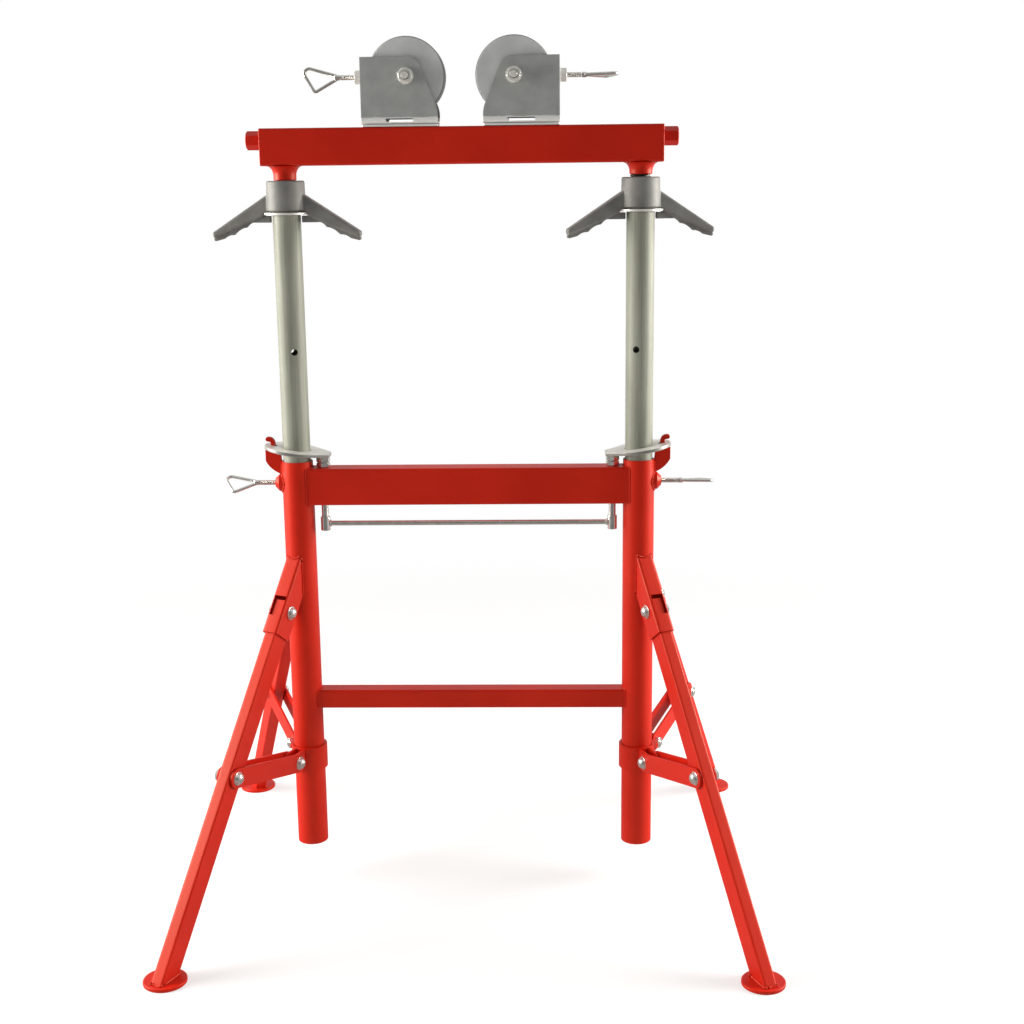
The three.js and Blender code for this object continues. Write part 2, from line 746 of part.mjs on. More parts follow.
// Channel welded to the upright that the leg's top swings in. The strap below its
// window stops the leg when it is spread, and the window lets the leg's top swing out.
function legBracket() {
  const webInner = legDepth / 2 + pivotGap;
  const webOuter = webInner + legBracketWall;
  const edge = -legDepth / 2;
  const top = hingeReach / Math.sin(legTilt);
  const section = new THREE.Shape();
  section.moveTo(edge, -cheekOutside);
  section.lineTo(webOuter - tubeCorner, -cheekOutside);
  section.absarc(webOuter - tubeCorner, tubeCorner - cheekOutside, tubeCorner, -Math.PI / 2, 0);
  section.absarc(webOuter - tubeCorner, cheekOutside - tubeCorner, tubeCorner, 0, Math.PI / 2);
  section.lineTo(edge, cheekOutside);
  section.lineTo(edge, cheekInside);
  section.lineTo(webInner, cheekInside);
  section.lineTo(webInner, -cheekInside);
  section.lineTo(edge, -cheekInside);
  section.closePath();
  const length = top + bracketBelowHinge;
  const channel = slab(section, length, 1).translate(0, 0, (top - bracketBelowHinge) / 2);
  const window = block(4 * legBracketWall, 2 * cheekInside, windowAbove + windowBelow,
    webOuter, 0, (windowAbove - windowBelow) / 2);
  const cope = hole(copeRadius, 0, 2 * hingeHeight, wideSides).applyMatrix4(intoLegFrame);
  const drill = alongY(hole(pivotDiameter / 2 + boltGap, -legDepth, legDepth, drillSides));
  return cut(channel, window, cope, drill);
}

// A bolt across a leg, from its dome to its nut, with both seated on the given half width
function crossBolt(half, domeSide) {
  const shank = bar(pivotDiameter / 2, -half - pivotNutHeight - 2, half + 1, boltSides);
  const nut = hexBar(pivotNutAcrossFlats, -half - pivotNutHeight, -half);
  const bolt = alongY(join(shank, nut, dome(half)));
  return domeSide > 0 ? bolt : bolt.rotateZ(Math.PI);
}

function leg() {
  const reach = legLength + legDepth;
  const tube = boxTube(legDepth, legWidth, legWall, reach + legAboveHinge);
  tube.translate(0, 0, (legAboveHinge - reach) / 2);
  const ground = footThickness + seatGap - 2 * legDepth;
  const floor = block(8 * legDepth, 4 * legWidth, 4 * legDepth, footReach, 0, ground);
  const drill = alongY(hole(pivotDiameter / 2 + boltGap, -legDepth, legDepth, drillSides));
  return cut(tube, floor.applyMatrix4(intoLegFrame), drill.clone(), drill.translate(0, 0, -linkAlongLeg));
}

function footPlate() {
  const radius = footDiameter / 2;
  return turned([
    [0, 0],
    [radius, 0],
    [radius, footThickness - footChamfer],
    [radius - footChamfer, footThickness],
    [0, footThickness],
  ], wideSides).translate(footReach, 0, 0);
}

// Two flat bars from the leg to the collar, held together by the bolt through the leg.
// The bolts at the collar's end are short studs on the bars, so that the collar can slide.
function link(domeSide) {
  const round = linkBarHeight / 2;
  const outline = new THREE.Shape();
  outline.absarc(0, 0, round, Math.PI / 2, 1.5 * Math.PI);
  outline.absarc(linkLength, 0, round, -Math.PI / 2, Math.PI / 2);
  outline.closePath();
  const flat = standingSlab(outline, linkBarThickness, 3);
  const middle = (cheekInside + barOutside) / 2;
  const nearBar = flat.clone().translate(0, middle, 0);
  const farBar = flat.translate(0, -middle, 0);
  const legBolt = crossBolt(barOutside - seatGap, domeSide);
  const collarDome = alongY(dome(barOutside - seatGap));
  const collarNut = alongY(hexBar(pivotNutAcrossFlats, -barOutside - pivotNutHeight, seatGap - barOutside));
  const collarEnd = [collarDome, collarNut];
  for (const end of collarEnd) {
    if (domeSide < 0) end.rotateZ(Math.PI);
    end.translate(linkLength, 0, 0);
  }
  return join(nearBar, legBolt, farBar, ...collarEnd);
}

// Ring that slides on the upright, with a pair of ears for each leg's link
function collar() {
  const low = collarPivotHeight - collarBelowPivot;
  const high = collarPivotHeight + collarAbovePivot;
  const outer = copeRadius + collarWall;
  const band = bar(outer, low, high, wideSides);
  const end = collarPivotReach;
  const half = earHeight / 2;
  const outline = new THREE.Shape();
  outline.moveTo(0, -half);
  outline.absarc(end, 0, half, -Math.PI / 2, Math.PI / 2);
  outline.lineTo(0, half);
  outline.closePath();
  const middle = cheekInside - pivotGap - earThickness / 2;
  const drill = alongY(hole(pivotDiameter / 2 + boltGap, -legWidth, legWidth, drillSides));
  const ear = cut(standingSlab(outline, earThickness, 3), drill.translate(end, 0, 0));
  ear.translate(0, 0, collarPivotHeight);
  const ears = [];
  for (const turn of [-legPlanAngle, legPlanAngle]) {
    for (const offset of [-middle, middle]) {
      ears.push(ear.clone().translate(0, offset, 0).rotateZ(turn));
    }
  }
  const bore = hole(copeRadius, low - half, high + half, wideSides);
  return cut(join(band, ...ears), bore);
}

// Assembly

const stand = new THREE.Group();
stand.name = "roller_stand";

piece(stand, "cross_rail", crossRail(), redPaint);
piece(stand, "lower_crossbar", lowerBar(), redPaint);
piece(stand, "release_bar", releaseBar(), brightZinc);
piece(stand, "top_rail", topRail(), redPaint);
piece(stand, "lead_screw", leadScrew(), redPaint);

function turnedAbout(parent, x, y, z, turn, axis) {
  const group = new THREE.Group();
  group.position.set(x, y, z);
  group.rotation[axis] = turn;
  parent.add(group);
  return group;
}

// One side of the stand. Its group turns so that local +X points outward.
function addSide(side) {
  const outward = side === "left" ? -1 : 1;
  const turn = outward < 0 ? Math.PI : 0;
  const column = turnedAbout(stand, outward * halfSpacing, 0, 0, turn, "z");
  piece(column, `${side}_upright`, upright(), redPaint);
  piece(column, `${side}_lock_hook`, lockHook(), redPaint);
  piece(column, `${side}_collar`, collar(), redPaint);
  piece(column, `${side}_thrust_washer`, thrustWasher(), brightZinc);
  piece(column, `${side}_jack_screw`, jackScrew(), redPaint);
  const bolt = piece(column, `${side}_push_bolt`, pushBolt(), brightZinc);
  bolt.position.x = -pushBoltInset;

  const plate = piece(column, `${side}_lock_plate`, lockPlate(), brightZinc);
  plate.position.z = uprightTop + lockLift;
  plate.rotation.y = -lockTilt;

  const tube = piece(stand, `${side}_post`, post(), zincTube);
  tube.position.x = outward * halfSpacing;
  tube.rotation.z = -outward * postHoleTurn;

  const handle = piece(stand, `${side}_handle`, wingHandle(), castGrey);
  handle.position.x = outward * halfSpacing;
  handle.rotation.z = handleTurn[side];

  const clampTip = postRadius + clampTipGap;
  const clamp = turnedAbout(column, 0, 0, uprightTop - clampDrop, outward * clampLoopTurn[side], "x");
  piece(clamp, `${side}_clamp_stud`, stud(clampTip, clampTip + clampReach), brightZinc);
  piece(clamp, `${side}_clamp_loop`, wireLoop(clampTip + clampReach + seatGap), brightZinc);

  const carriage = turnedAbout(stand, outward * axleReach, 0, axleZ, turn, "z");
  piece(carriage, `${side}_roller_bracket`, rollerBracket(), rollerSteel);
  piece(carriage, `${side}_traveller_nut`, traveller(), darkSteel);
  piece(carriage, `${side}_axle_bolt`, axleBolt(-outward), brightZinc);
  piece(carriage, `${side}_roller`, roller(), rollerSteel);
  const brakeTip = rollerDiameter / 2 + brakeTipGap;
  const brake = turnedAbout(carriage, 0, 0, 0, outward * brakeLoopTurn[side], "x");
  piece(brake, `${side}_brake_stud`, stud(brakeTip, brakeTip + brakeReach), brightZinc);
  piece(brake, `${side}_brake_loop`, wireLoop(brakeTip + brakeReach + seatGap), brightZinc);

  for (const end of ["front", "rear"]) {
    const back = end === "front" ? -1 : 1;
    const planTurn = Math.atan2(back * Math.sin(legPlanAngle), outward * Math.cos(legPlanAngle));
    const corner = turnedAbout(stand, outward * halfSpacing, 0, 0, planTurn, "z");
    const domeSide = outward * back;
    const hinge = turnedAbout(corner, hingeReach, 0, hingeHeight, -legTilt, "y");
    piece(hinge, `${side}_${end}_leg_bracket`, legBracket(), redPaint);
    piece(hinge, `${side}_${end}_leg_pivot`, crossBolt(cheekOutside + seatGap, domeSide), brightZinc);
    piece(hinge, `${side}_${end}_leg`, leg(), redPaint);
    piece(corner, `${side}_${end}_foot`, footPlate(), redPaint);
    const brace = turnedAbout(corner, linkReach, 0, linkHeight, linkSlope, "y");
    piece(brace, `${side}_${end}_link`, link(domeSide), redPaint);
  }
}

addSide("left");
addSide("right");

export default stand;
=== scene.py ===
# %% [markdown]
# # A folding roller stand
# This stand carries one end of a long pipe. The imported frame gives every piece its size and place, in metres,
# with +Z up and the front towards -Y. Each step below gives one group of pieces its finished shape and surface.

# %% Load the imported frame
import json
from math import acos, atan2, cos, hypot, pi, radians, sin, sqrt, tan

import bmesh
import bpy
import numpy as np
from mathutils import Matrix, Vector


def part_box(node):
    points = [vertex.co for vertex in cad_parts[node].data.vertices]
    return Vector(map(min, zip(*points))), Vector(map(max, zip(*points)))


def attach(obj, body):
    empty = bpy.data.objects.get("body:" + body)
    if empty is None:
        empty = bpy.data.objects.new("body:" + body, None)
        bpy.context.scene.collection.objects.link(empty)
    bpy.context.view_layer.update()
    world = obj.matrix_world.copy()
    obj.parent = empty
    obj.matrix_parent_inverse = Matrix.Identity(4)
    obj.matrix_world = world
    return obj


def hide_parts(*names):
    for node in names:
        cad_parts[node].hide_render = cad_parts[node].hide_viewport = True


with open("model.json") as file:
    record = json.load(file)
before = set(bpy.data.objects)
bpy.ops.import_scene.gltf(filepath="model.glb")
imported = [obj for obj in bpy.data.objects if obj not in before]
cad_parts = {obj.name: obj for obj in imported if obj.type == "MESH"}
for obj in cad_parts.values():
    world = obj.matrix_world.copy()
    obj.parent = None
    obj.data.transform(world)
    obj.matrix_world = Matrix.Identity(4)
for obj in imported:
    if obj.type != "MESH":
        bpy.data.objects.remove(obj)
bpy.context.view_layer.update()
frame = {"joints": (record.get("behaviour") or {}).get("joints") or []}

MM = 0.001
SIDES = {"left": -1, "right": 1}
ENDS = {"front": -1, "rear": 1}
joints = {joint["name"]: joint for joint in frame["joints"]}


def middle(node):
    """The centre of a CAD node's box."""
    low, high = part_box(node)
    return (low + high) / 2


POST_X = middle("right_post").x
UPRIGHT_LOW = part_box("right_upright")[0].z
UPRIGHT_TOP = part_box("right_upright")[1].z
POST_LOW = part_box("right_post")[0].z
POST_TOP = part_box("right_post")[1].z
HUB_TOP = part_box("right_handle")[1].z
RAIL_LOW, RAIL_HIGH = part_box("top_rail")
AXLE = middle("right_roller")

# %% [markdown]
# ## Camera
# The photograph was taken from a little right of the middle, a bit above the rollers' height, with a long lens.
# The place and the angles were solved from corners and tube axes seen in the picture. They could be set by
# eye, but a solved camera lets every piece be compared with the photograph where it stands.

# %% Place the camera
CAMERA_PLACE = Vector((0.1299, -2.2719, 1.1179))
CAMERA_YAW, CAMERA_PITCH, CAMERA_ROLL = radians(-1.56), radians(12.69), radians(-0.65)
FOCAL_PIXELS = 1494.5
PICTURE_PIXELS = 1024
SENSOR_WIDTH = 36.0

forward = Vector((sin(CAMERA_YAW) * cos(CAMERA_PITCH), cos(CAMERA_YAW) * cos(CAMERA_PITCH), -sin(CAMERA_PITCH)))
level = Vector((cos(CAMERA_YAW), -sin(CAMERA_YAW), 0))
upward = level.cross(forward)
right = level * cos(CAMERA_ROLL) + upward * sin(CAMERA_ROLL)
upward = right.cross(forward)
lens = bpy.data.cameras.new("photo_camera")
lens.sensor_width = SENSOR_WIDTH
lens.lens = FOCAL_PIXELS * SENSOR_WIDTH / PICTURE_PIXELS
camera = bpy.data.objects.new("photo_camera", lens)
camera.matrix_world = Matrix.Translation(CAMERA_PLACE) @ Matrix((right, upward, -forward)).transposed().to_4x4()
bpy.context.scene.collection.objects.link(camera)
bpy.context.scene.camera = camera
print(f"lens {lens.lens:.2f} mm at {tuple(CAMERA_PLACE)}")

# %% [markdown]
# ## Writing shaders as sums
# A finish is a small graph of nodes. Placing nodes by hand hides the sum they make, so one class wraps a
# socket and lets Python's operators add the Math nodes, and one method makes every other node.

# %% Shader sums


class Signal:
    """An output socket that can stand in a Python sum."""

    def __init__(self, graph, socket):
        self.graph = graph
        self.socket = socket

    def math(self, operation, first, second=0.0, third=0.0):
        return self.graph.node("ShaderNodeMath", {"operation": operation}, {0: first, 1: second, 2: third})

    def __add__(self, other):
        return self.math("ADD", self, other)

    def __radd__(self, other):
        return self.math("ADD", other, self)

    def __sub__(self, other):
        return self.math("SUBTRACT", self, other)

    def __rsub__(self, other):
        return self.math("SUBTRACT", other, self)

    def __mul__(self, other):
        return self.math("MULTIPLY", self, other)

    def __rmul__(self, other):
        return self.math("MULTIPLY", other, self)

    def __pow__(self, other):
        return self.math("POWER", self, other)

    def __abs__(self):
        return self.math("ABSOLUTE", self)

    def least(self, other):
        return self.math("MINIMUM", self, other)

    def most(self, other):
        return self.math("MAXIMUM", self, other)

    def between(self, low, high):
        """0 below low, 1 above high and a smooth rise between."""
        settings = {"interpolation_type": "SMOOTHSTEP"}
        return self.graph.node("ShaderNodeMapRange", settings, {0: self, 1: low, 2: high})


class Graph:
    """The node tree of a finish, the floor or the world."""

    def __init__(self, owner):
        owner.use_nodes = True
        self.owner = owner
        self.tree = owner.node_tree
        self.tree.nodes.clear()

    def node(self, kind, settings=None, sockets=None, output=0):
        """Add a node: its settings first, then its sockets' values or links."""
        made = self.tree.nodes.new(kind)
        for name, value in (settings or {}).items():
            setattr(made, name, value)
        for name, value in (sockets or {}).items():
            if isinstance(value, Signal):
                self.tree.links.new(value.socket, made.inputs[name])
            else:
                made.inputs[name].default_value = value
        return Signal(self, made.outputs[output]) if made.outputs else None

    def blend(self, factor, first, second):
        """A colour between two colours."""
        settings = {"data_type": "RGBA", "clamp_factor": True}
        return self.node("ShaderNodeMix", settings, {0: factor, 6: first, 7: second}, output=2)

    def place(self):
        """The point on the object, in metres, in the frame at rest."""
        return self.node("ShaderNodeTexCoord", output="Object")

    def stretched(self, scale):
        """The point on the object with each axis scaled, for grain that runs one way."""
        return self.node("ShaderNodeVectorMath", {"operation": "MULTIPLY"}, {0: self.place(), 1: scale})

    def noise(self, where, scale, detail=3.0, rough=0.5):
        sockets = {"Vector": where, "Scale": scale, "Detail": detail, "Roughness": rough}
        return self.node("ShaderNodeTexNoise", {}, sockets)

    def bump(self, height, strength, distance):
        sockets = {"Strength": strength, "Distance": distance, "Height": height}
        return self.node("ShaderNodeBump", {}, sockets)


def grey(level):
    return (level, level, level, 1.0)


# %% [markdown]
# ## Light and floor
# The photograph has soft light from both sides and above, bright strips beside the stand that whiten the
# edges of its tubes, and a darker room behind the camera. A picture of a studio could light it, but four
# soft lamps and a plain world keep the light easy to change and the colours as they are written.

# %% World, lamps and floor
WORLD_FILL = 0.38
ROOM_BEHIND_CAMERA = 0.14
BACKDROP = 0.65
LAMP_AIM = Vector((0.0, 0.0, 0.35))
LAMPS = {
    "key": {"azimuth": -82, "rise": 17, "far": 2.6, "size": (1.2, 1.2), "power": 88},
    "fill": {"azimuth": 94, "rise": 16, "far": 2.6, "size": (1.2, 1.2), "power": 84},
    "left_strip": {"azimuth": -104, "rise": 24, "far": 2.4, "size": (0.9, 1.6), "power": 28},
    "right_strip": {"azimuth": 104, "rise": 24, "far": 2.4, "size": (0.9, 1.6), "power": 20},
}
FLOOR_HALF = 6.0
FLOOR_DROP = 0.2 * MM
FLOOR_FADE_START, FLOOR_FADE_END = 0.9, 2.2
FLOOR_WHITE = 0.55
LAMP_COLOUR = (1.0, 0.965, 0.90)


def dress_world():
    world = bpy.data.worlds.new("studio")
    bpy.context.scene.world = world
    graph = Graph(world)
    rays = graph.node("ShaderNodeLightPath")
    flags = rays.socket.node.outputs
    seen = Signal(graph, flags["Is Camera Ray"])
    mirrored = Signal(graph, flags["Is Glossy Ray"]).most(Signal(graph, flags["Is Transmission Ray"]))
    toward = graph.node("ShaderNodeTexCoord", output="Generated")
    split = graph.node("ShaderNodeSeparateXYZ", {}, {0: toward}, output="Y")
    front = (0 - split).between(0.25, 0.95)
    reflected = BACKDROP - front * (BACKDROP - ROOM_BEHIND_CAMERA)
    strength = seen + (1 - seen) * (mirrored * reflected + (1 - mirrored) * WORLD_FILL)
    light = graph.node("ShaderNodeBackground", {}, {"Color": grey(1.0), "Strength": strength})
    graph.node("ShaderNodeOutputWorld", {}, {"Surface": light})


def hang_lamp(name, azimuth, rise, far, size, power):
    """A soft rectangular lamp that faces the stand. Azimuth 0 is the front and 90 the right."""
    turn, lift = radians(azimuth), radians(rise)
    away = Vector((sin(turn) * cos(lift), -cos(turn) * cos(lift), sin(lift)))
    data = bpy.data.lights.new(name, "AREA")
    data.shape = "RECTANGLE"
    data.size, data.size_y = size
    data.energy = power
    data.color = LAMP_COLOUR
    lamp = bpy.data.objects.new(name, data)
    lamp.location = LAMP_AIM + away * far
    lamp.rotation_mode = "QUATERNION"
    lamp.rotation_quaternion = away.to_track_quat("Z", "Y")
    bpy.context.scene.collection.objects.link(lamp)


def lay_floor():
    mesh = bpy.data.meshes.new("floor")
    half = FLOOR_HALF
    corners = [(x, y, -FLOOR_DROP) for x, y in ((-half, -half), (half, -half), (half, half), (-half, half))]
    mesh.from_pydata(corners, [], [(0, 1, 2, 3)])
    floor = bpy.data.objects.new("floor", mesh)
    bpy.context.scene.collection.objects.link(floor)
    graph = Graph(bpy.data.materials.new("floor"))
    distance = graph.node("ShaderNodeVectorMath", {"operation": "LENGTH"}, {0: graph.place()}, output="Value")
    fade = distance.between(FLOOR_FADE_START, FLOOR_FADE_END)
    flags = graph.node("ShaderNodeLightPath").socket.node.outputs
    direct = Signal(graph, flags["Is Camera Ray"])
    mirrored = Signal(graph, flags["Is Glossy Ray"])
    bounce = graph.blend(mirrored, grey(0.75), grey(0.20))
    pale = graph.node("ShaderNodeBsdfDiffuse", {}, {"Color": graph.blend(direct, bounce, grey(0.86))})
    white = graph.node("ShaderNodeEmission", {}, {"Color": grey(1.0), "Strength": 1.0})
    seen = graph.node("ShaderNodeMixShader", {}, {0: direct * FLOOR_WHITE, 1: pale, 2: white})
    clear = graph.node("ShaderNodeBsdfTransparent")
    surface = graph.node("ShaderNodeMixShader", {}, {0: fade, 1: seen, 2: clear})
    graph.node("ShaderNodeOutputMaterial", {}, {"Surface": surface})
    mesh.materials.append(graph.owner)


dress_world()
for lamp_name, lamp_sizes in LAMPS.items():
    hang_lamp(lamp_name, **lamp_sizes)
lay_floor()
bpy.context.scene.view_settings.view_transform = "Standard"
print(f"{len(LAMPS)} lamps")

# %% [markdown]
# ## Red powder coat
# The welded frame, the legs and the top rail are powder coated: a smooth thick paint whose surface has a very
# fine orange-peel ripple and a clear top. One plain red would look like plastic, so the tone drifts slowly,
# the ripple bends the highlights, and a coat gives the pale edge reflections of the photograph.

# %% Finish: red paint


def surface_of(graph, **sockets):
    """The principled surface of a finish, with the socket names written in words."""
    named = {name.replace("_", " ").title().replace("Ior", "IOR"): value for name, value in sockets.items()}
    shader = graph.node("ShaderNodeBsdfPrincipled", {}, named)
    graph.node("ShaderNodeOutputMaterial", {}, {"Surface": shader})
    return graph.owner


def red_paint():
    graph = Graph(bpy.data.materials.new("red_paint"))
    drift = graph.noise(graph.place(), 7.0)
    specks = graph.noise(graph.place(), 420.0, detail=2.0)
    peel = graph.noise(graph.place(), 520.0, detail=1.0)
    tone = graph.blend(drift.between(0.3, 0.7), (0.47, 0.0090, 0.0028, 1), (0.535, 0.0122, 0.0038, 1))
    colour = graph.blend(specks.between(0.70, 0.78) * 0.35, tone, (0.32, 0.007, 0.004, 1))
    return surface_of(
        graph,
        base_color=colour,
        roughness=0.36 + drift * 0.12,
        specular_ior_level=0.36,
        specular_tint=(1.0, 0.55, 0.36, 1.0),
        coat_weight=0.04,
        coat_roughness=0.2,
        normal=graph.bump(peel, 0.12, 0.06 * MM),
    )


# %% [markdown]
# ## Bare and plated metals
# The posts are zinc-plated pipe with draw marks along their length, the brackets are plated sheet with soft
# clouds, the rollers are turned steel, the handles are cast and painted a dull grey, and bolts and wire
# loops are bright zinc. Each finish is grain of the right direction and size over one metal colour. Two
# finishes also carry painted light: a near-white painted highlight along the brackets' bottom fold, and
# painted shade on the lock plates' edges.

# %% Finishes: metals


def zinc_tube():
    graph = Graph(bpy.data.materials.new("zinc_tube"))
    streaks = graph.noise(graph.stretched((1.0, 1.0, 0.02)), 330.0, detail=4.0, rough=0.6)
    clouds = graph.noise(graph.stretched((1.0, 1.0, 0.35)), 26.0)
    pits = graph.noise(graph.place(), 260.0, detail=2.0)
    tone = graph.blend(clouds.between(0.3, 0.7), (0.232, 0.240, 0.197, 1), (0.288, 0.296, 0.249, 1))
    lined = graph.blend(streaks.between(0.42, 0.66) * 0.5, tone, (0.178, 0.182, 0.145, 1))
    colour = graph.blend(pits.between(0.70, 0.76) * 0.5, lined, (0.15, 0.15, 0.11, 1))
    return surface_of(
        graph,
        base_color=colour,
        metallic=0.1,
        specular_ior_level=0.3,
        roughness=0.46 + streaks * 0.16,
        normal=graph.bump(streaks, 0.10, 0.05 * MM),
    )


BRACKET_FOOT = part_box("right_roller_bracket")[0].z


def bracket_steel():
    graph = Graph(bpy.data.materials.new("bracket_steel"))
    clouds = graph.noise(graph.place(), 38.0, detail=4.0, rough=0.6)
    grain = graph.noise(graph.stretched((0.12, 1.0, 1.0)), 700.0, detail=2.0)
    tone = graph.blend(clouds.between(0.32, 0.68), (0.335, 0.346, 0.337, 1), (0.392, 0.404, 0.393, 1))
    sheet = graph.blend(grain.between(0.5, 0.75) * 0.25, tone, (0.265, 0.274, 0.266, 1))
    split = graph.node("ShaderNodeSeparateXYZ", {}, {0: graph.place()}, output="Z")
    # Painted highlight: below a ragged line near the foot, the sheet turns near-white and more metallic. This stands in
    # for the light that the fold's bend reflects.
    ragged = split - (clouds - 0.5) * (5 * MM)
    bright = 1 - ragged.between(BRACKET_FOOT + 8.5 * MM, BRACKET_FOOT + 10.5 * MM)
    colour = graph.blend(bright, sheet, (0.92, 0.915, 0.89, 1))
    return surface_of(
        graph,
        base_color=colour,
        metallic=0.2 + bright * 0.25,
        roughness=0.36 + clouds * 0.14,
        normal=graph.bump(grain, 0.06, 0.04 * MM),
    )


RIM_COLOUR = (0.15, 0.153, 0.15, 1)
ROLLER_RADIUS = (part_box("right_roller")[1].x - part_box("right_roller")[0].x) / 2


def roller_steel():
    graph = Graph(bpy.data.materials.new("roller_steel"))
    split = graph.node("ShaderNodeSeparateXYZ", {}, {0: graph.place()})
    across = Signal(graph, split.socket.node.outputs["X"])
    height = Signal(graph, split.socket.node.outputs["Z"])
    from_axle = ((abs(across) - AXLE.x) ** 2.0 + (height - AXLE.z) ** 2.0) ** 0.5
    grooves = graph.noise(graph.node("ShaderNodeCombineXYZ", {}, {0: from_axle}), 1500.0, detail=3.0)
    clouds = graph.noise(graph.place(), 30.0, detail=4.0)
    tone = graph.blend(clouds.between(0.3, 0.7), (0.52, 0.535, 0.528, 1), (0.61, 0.627, 0.618, 1))
    face = graph.blend(grooves.between(0.45, 0.7) * 0.30, tone, (0.37, 0.377, 0.37, 1))
    colour = graph.blend(from_axle.between(ROLLER_RADIUS - 1.9 * MM, ROLLER_RADIUS - 0.5 * MM), face, RIM_COLOUR)
    return surface_of(
        graph,
        base_color=colour,
        metallic=0.1,
        roughness=0.40 + clouds * 0.12,
        normal=graph.bump(grooves, 0.10, 0.05 * MM),
    )


def cast_grey():
    graph = Graph(bpy.data.materials.new("cast_grey"))
    sand = graph.noise(graph.place(), 620.0, detail=3.0)
    clouds = graph.noise(graph.place(), 45.0, detail=3.0)
    tone = graph.blend(clouds.between(0.3, 0.7), (0.155, 0.153, 0.143, 1), (0.202, 0.199, 0.187, 1))
    colour = graph.blend(sand.between(0.6, 0.75) * 0.3, tone, (0.095, 0.094, 0.087, 1))
    return surface_of(
        graph,
        base_color=colour,
        metallic=0.08,
        roughness=0.46 + sand * 0.2,
        normal=graph.bump(sand, 0.12, 0.12 * MM),
    )


def bright_zinc():
    graph = Graph(bpy.data.materials.new("bright_zinc"))
    clouds = graph.noise(graph.place(), 90.0, detail=3.0)
    tone = graph.blend(clouds.between(0.3, 0.7), (0.76, 0.745, 0.70, 1), (0.88, 0.865, 0.82, 1))
    return surface_of(
        graph,
        base_color=tone,
        metallic=0.88,
        roughness=0.08 + clouds * 0.08,
        normal=graph.bump(clouds, 0.04, 0.1 * MM),
    )


def pale_zinc():
    graph = Graph(bpy.data.materials.new("pale_zinc"))
    clouds = graph.noise(graph.place(), 110.0, detail=3.0)
    tone = graph.blend(clouds.between(0.3, 0.7), (0.78, 0.765, 0.72, 1), (0.90, 0.885, 0.84, 1))
    return surface_of(graph, base_color=tone, metallic=0.4, roughness=0.24 + clouds * 0.14)


def plate_zinc():
    """Plated sheet whose sideways faces, its edges, are painted darker than its broad faces: painted shade."""
    graph = Graph(bpy.data.materials.new("plate_zinc"))
    clouds = graph.noise(graph.place(), 60.0, detail=4.0)
    normal = graph.node("ShaderNodeNewGeometry", output="Normal")
    face = abs(graph.node("ShaderNodeSeparateXYZ", {}, {0: normal}, output="Z")).between(0.5, 0.85)
    tone = graph.blend(clouds.between(0.3, 0.7), (0.70, 0.685, 0.64, 1), (0.82, 0.805, 0.76, 1))
    # Painted shade: faces that turn sideways, the plate's edges, blend to a dark grey.
    colour = graph.blend(face, (0.24, 0.235, 0.22, 1), tone)
    return surface_of(graph, base_color=colour, metallic=0.35, roughness=0.32 + clouds * 0.14)


def dark_steel():
    graph = Graph(bpy.data.materials.new("dark_steel"))
    clouds = graph.noise(graph.place(), 120.0, detail=3.0)
    tone = graph.blend(clouds.between(0.3, 0.7), (0.05, 0.047, 0.045, 1), (0.10, 0.095, 0.09, 1))
    return surface_of(graph, base_color=tone, metallic=0.8, roughness=0.34 + clouds * 0.14)


FINISHES = {
    make.__name__: make()
    for make in (red_paint, zinc_tube, bracket_steel, roller_steel, cast_grey, bright_zinc, pale_zinc, plate_zinc, dark_steel)
}
print("finishes:", ", ".join(FINISHES))

# %% [markdown]
# ## Turned shapes and outlines
# Most of this stand is tube, bar and plate. Each is drawn the way it is made: a profile turned on a lathe, an
# outline cut from plate with its edges broken, or a section pulled along a line. Primitive cylinders would
# have knife edges, which catch no light.

# %% Shapes: lathe, plate and placing
ALONG_X = Matrix.Rotation(pi / 2, 4, "Y")
ALONG_Y = Matrix.Rotation(-pi / 2, 4, "X")
STANDING = Matrix.Rotation(pi / 2, 4, "X")
WELD_DISTANCE = 0.002 * MM


class Shape:
    """Points and faces of one or more closed bodies."""

    def __init__(self, points, faces):
        self.points = np.array([tuple(point) for point in points], float).reshape(-1, 3)
        self.faces = [tuple(int(corner) for corner in face) for face in faces]

    def moved(self, matrix):
        turn = np.array(matrix.to_3x3())
        return Shape(self.points @ turn.T + np.array(matrix.translation), self.faces)

    def __add__(self, other):
        start = len(self.points)
        shifted = [tuple(corner + start for corner in face) for face in other.faces]
        return Shape(np.vstack([self.points, other.points]), self.faces + shifted)


def rounded(corners, steps=4):
    """A closed outline through (x, y, radius) corners, each turned by an arc of its own radius."""
    outline = []
    count = len(corners)
    for i, (x, y, radius) in enumerate(corners):
        here = Vector((x, y))
        if radius <= 0:
            outline.append(here)
            continue
        back = (Vector(corners[i - 1][:2]) - here).normalized()
        ahead = (Vector(corners[(i + 1) % count][:2]) - here).normalized()
        half = back.angle(ahead) / 2
        centre = here + (back + ahead).normalized() * (radius / sin(half))
        start = here + back * (radius / tan(half)) - centre
        end = here + ahead * (radius / tan(half)) - centre
        first = atan2(start.y, start.x)
        turn = (atan2(end.y, end.x) - first + pi) % (2 * pi) - pi
        for k in range(steps + 1):
            angle = first + turn * k / steps
            outline.append(centre + Vector((cos(angle), sin(angle))) * radius)
    return outline


def rectangle(width, height, corner, steps=4):
    """A rectangle about the origin with round corners, running anticlockwise."""
    x, y = width / 2, height / 2
    return rounded([(x, y, corner), (-x, y, corner), (-x, -y, corner), (x, -y, corner)], steps)


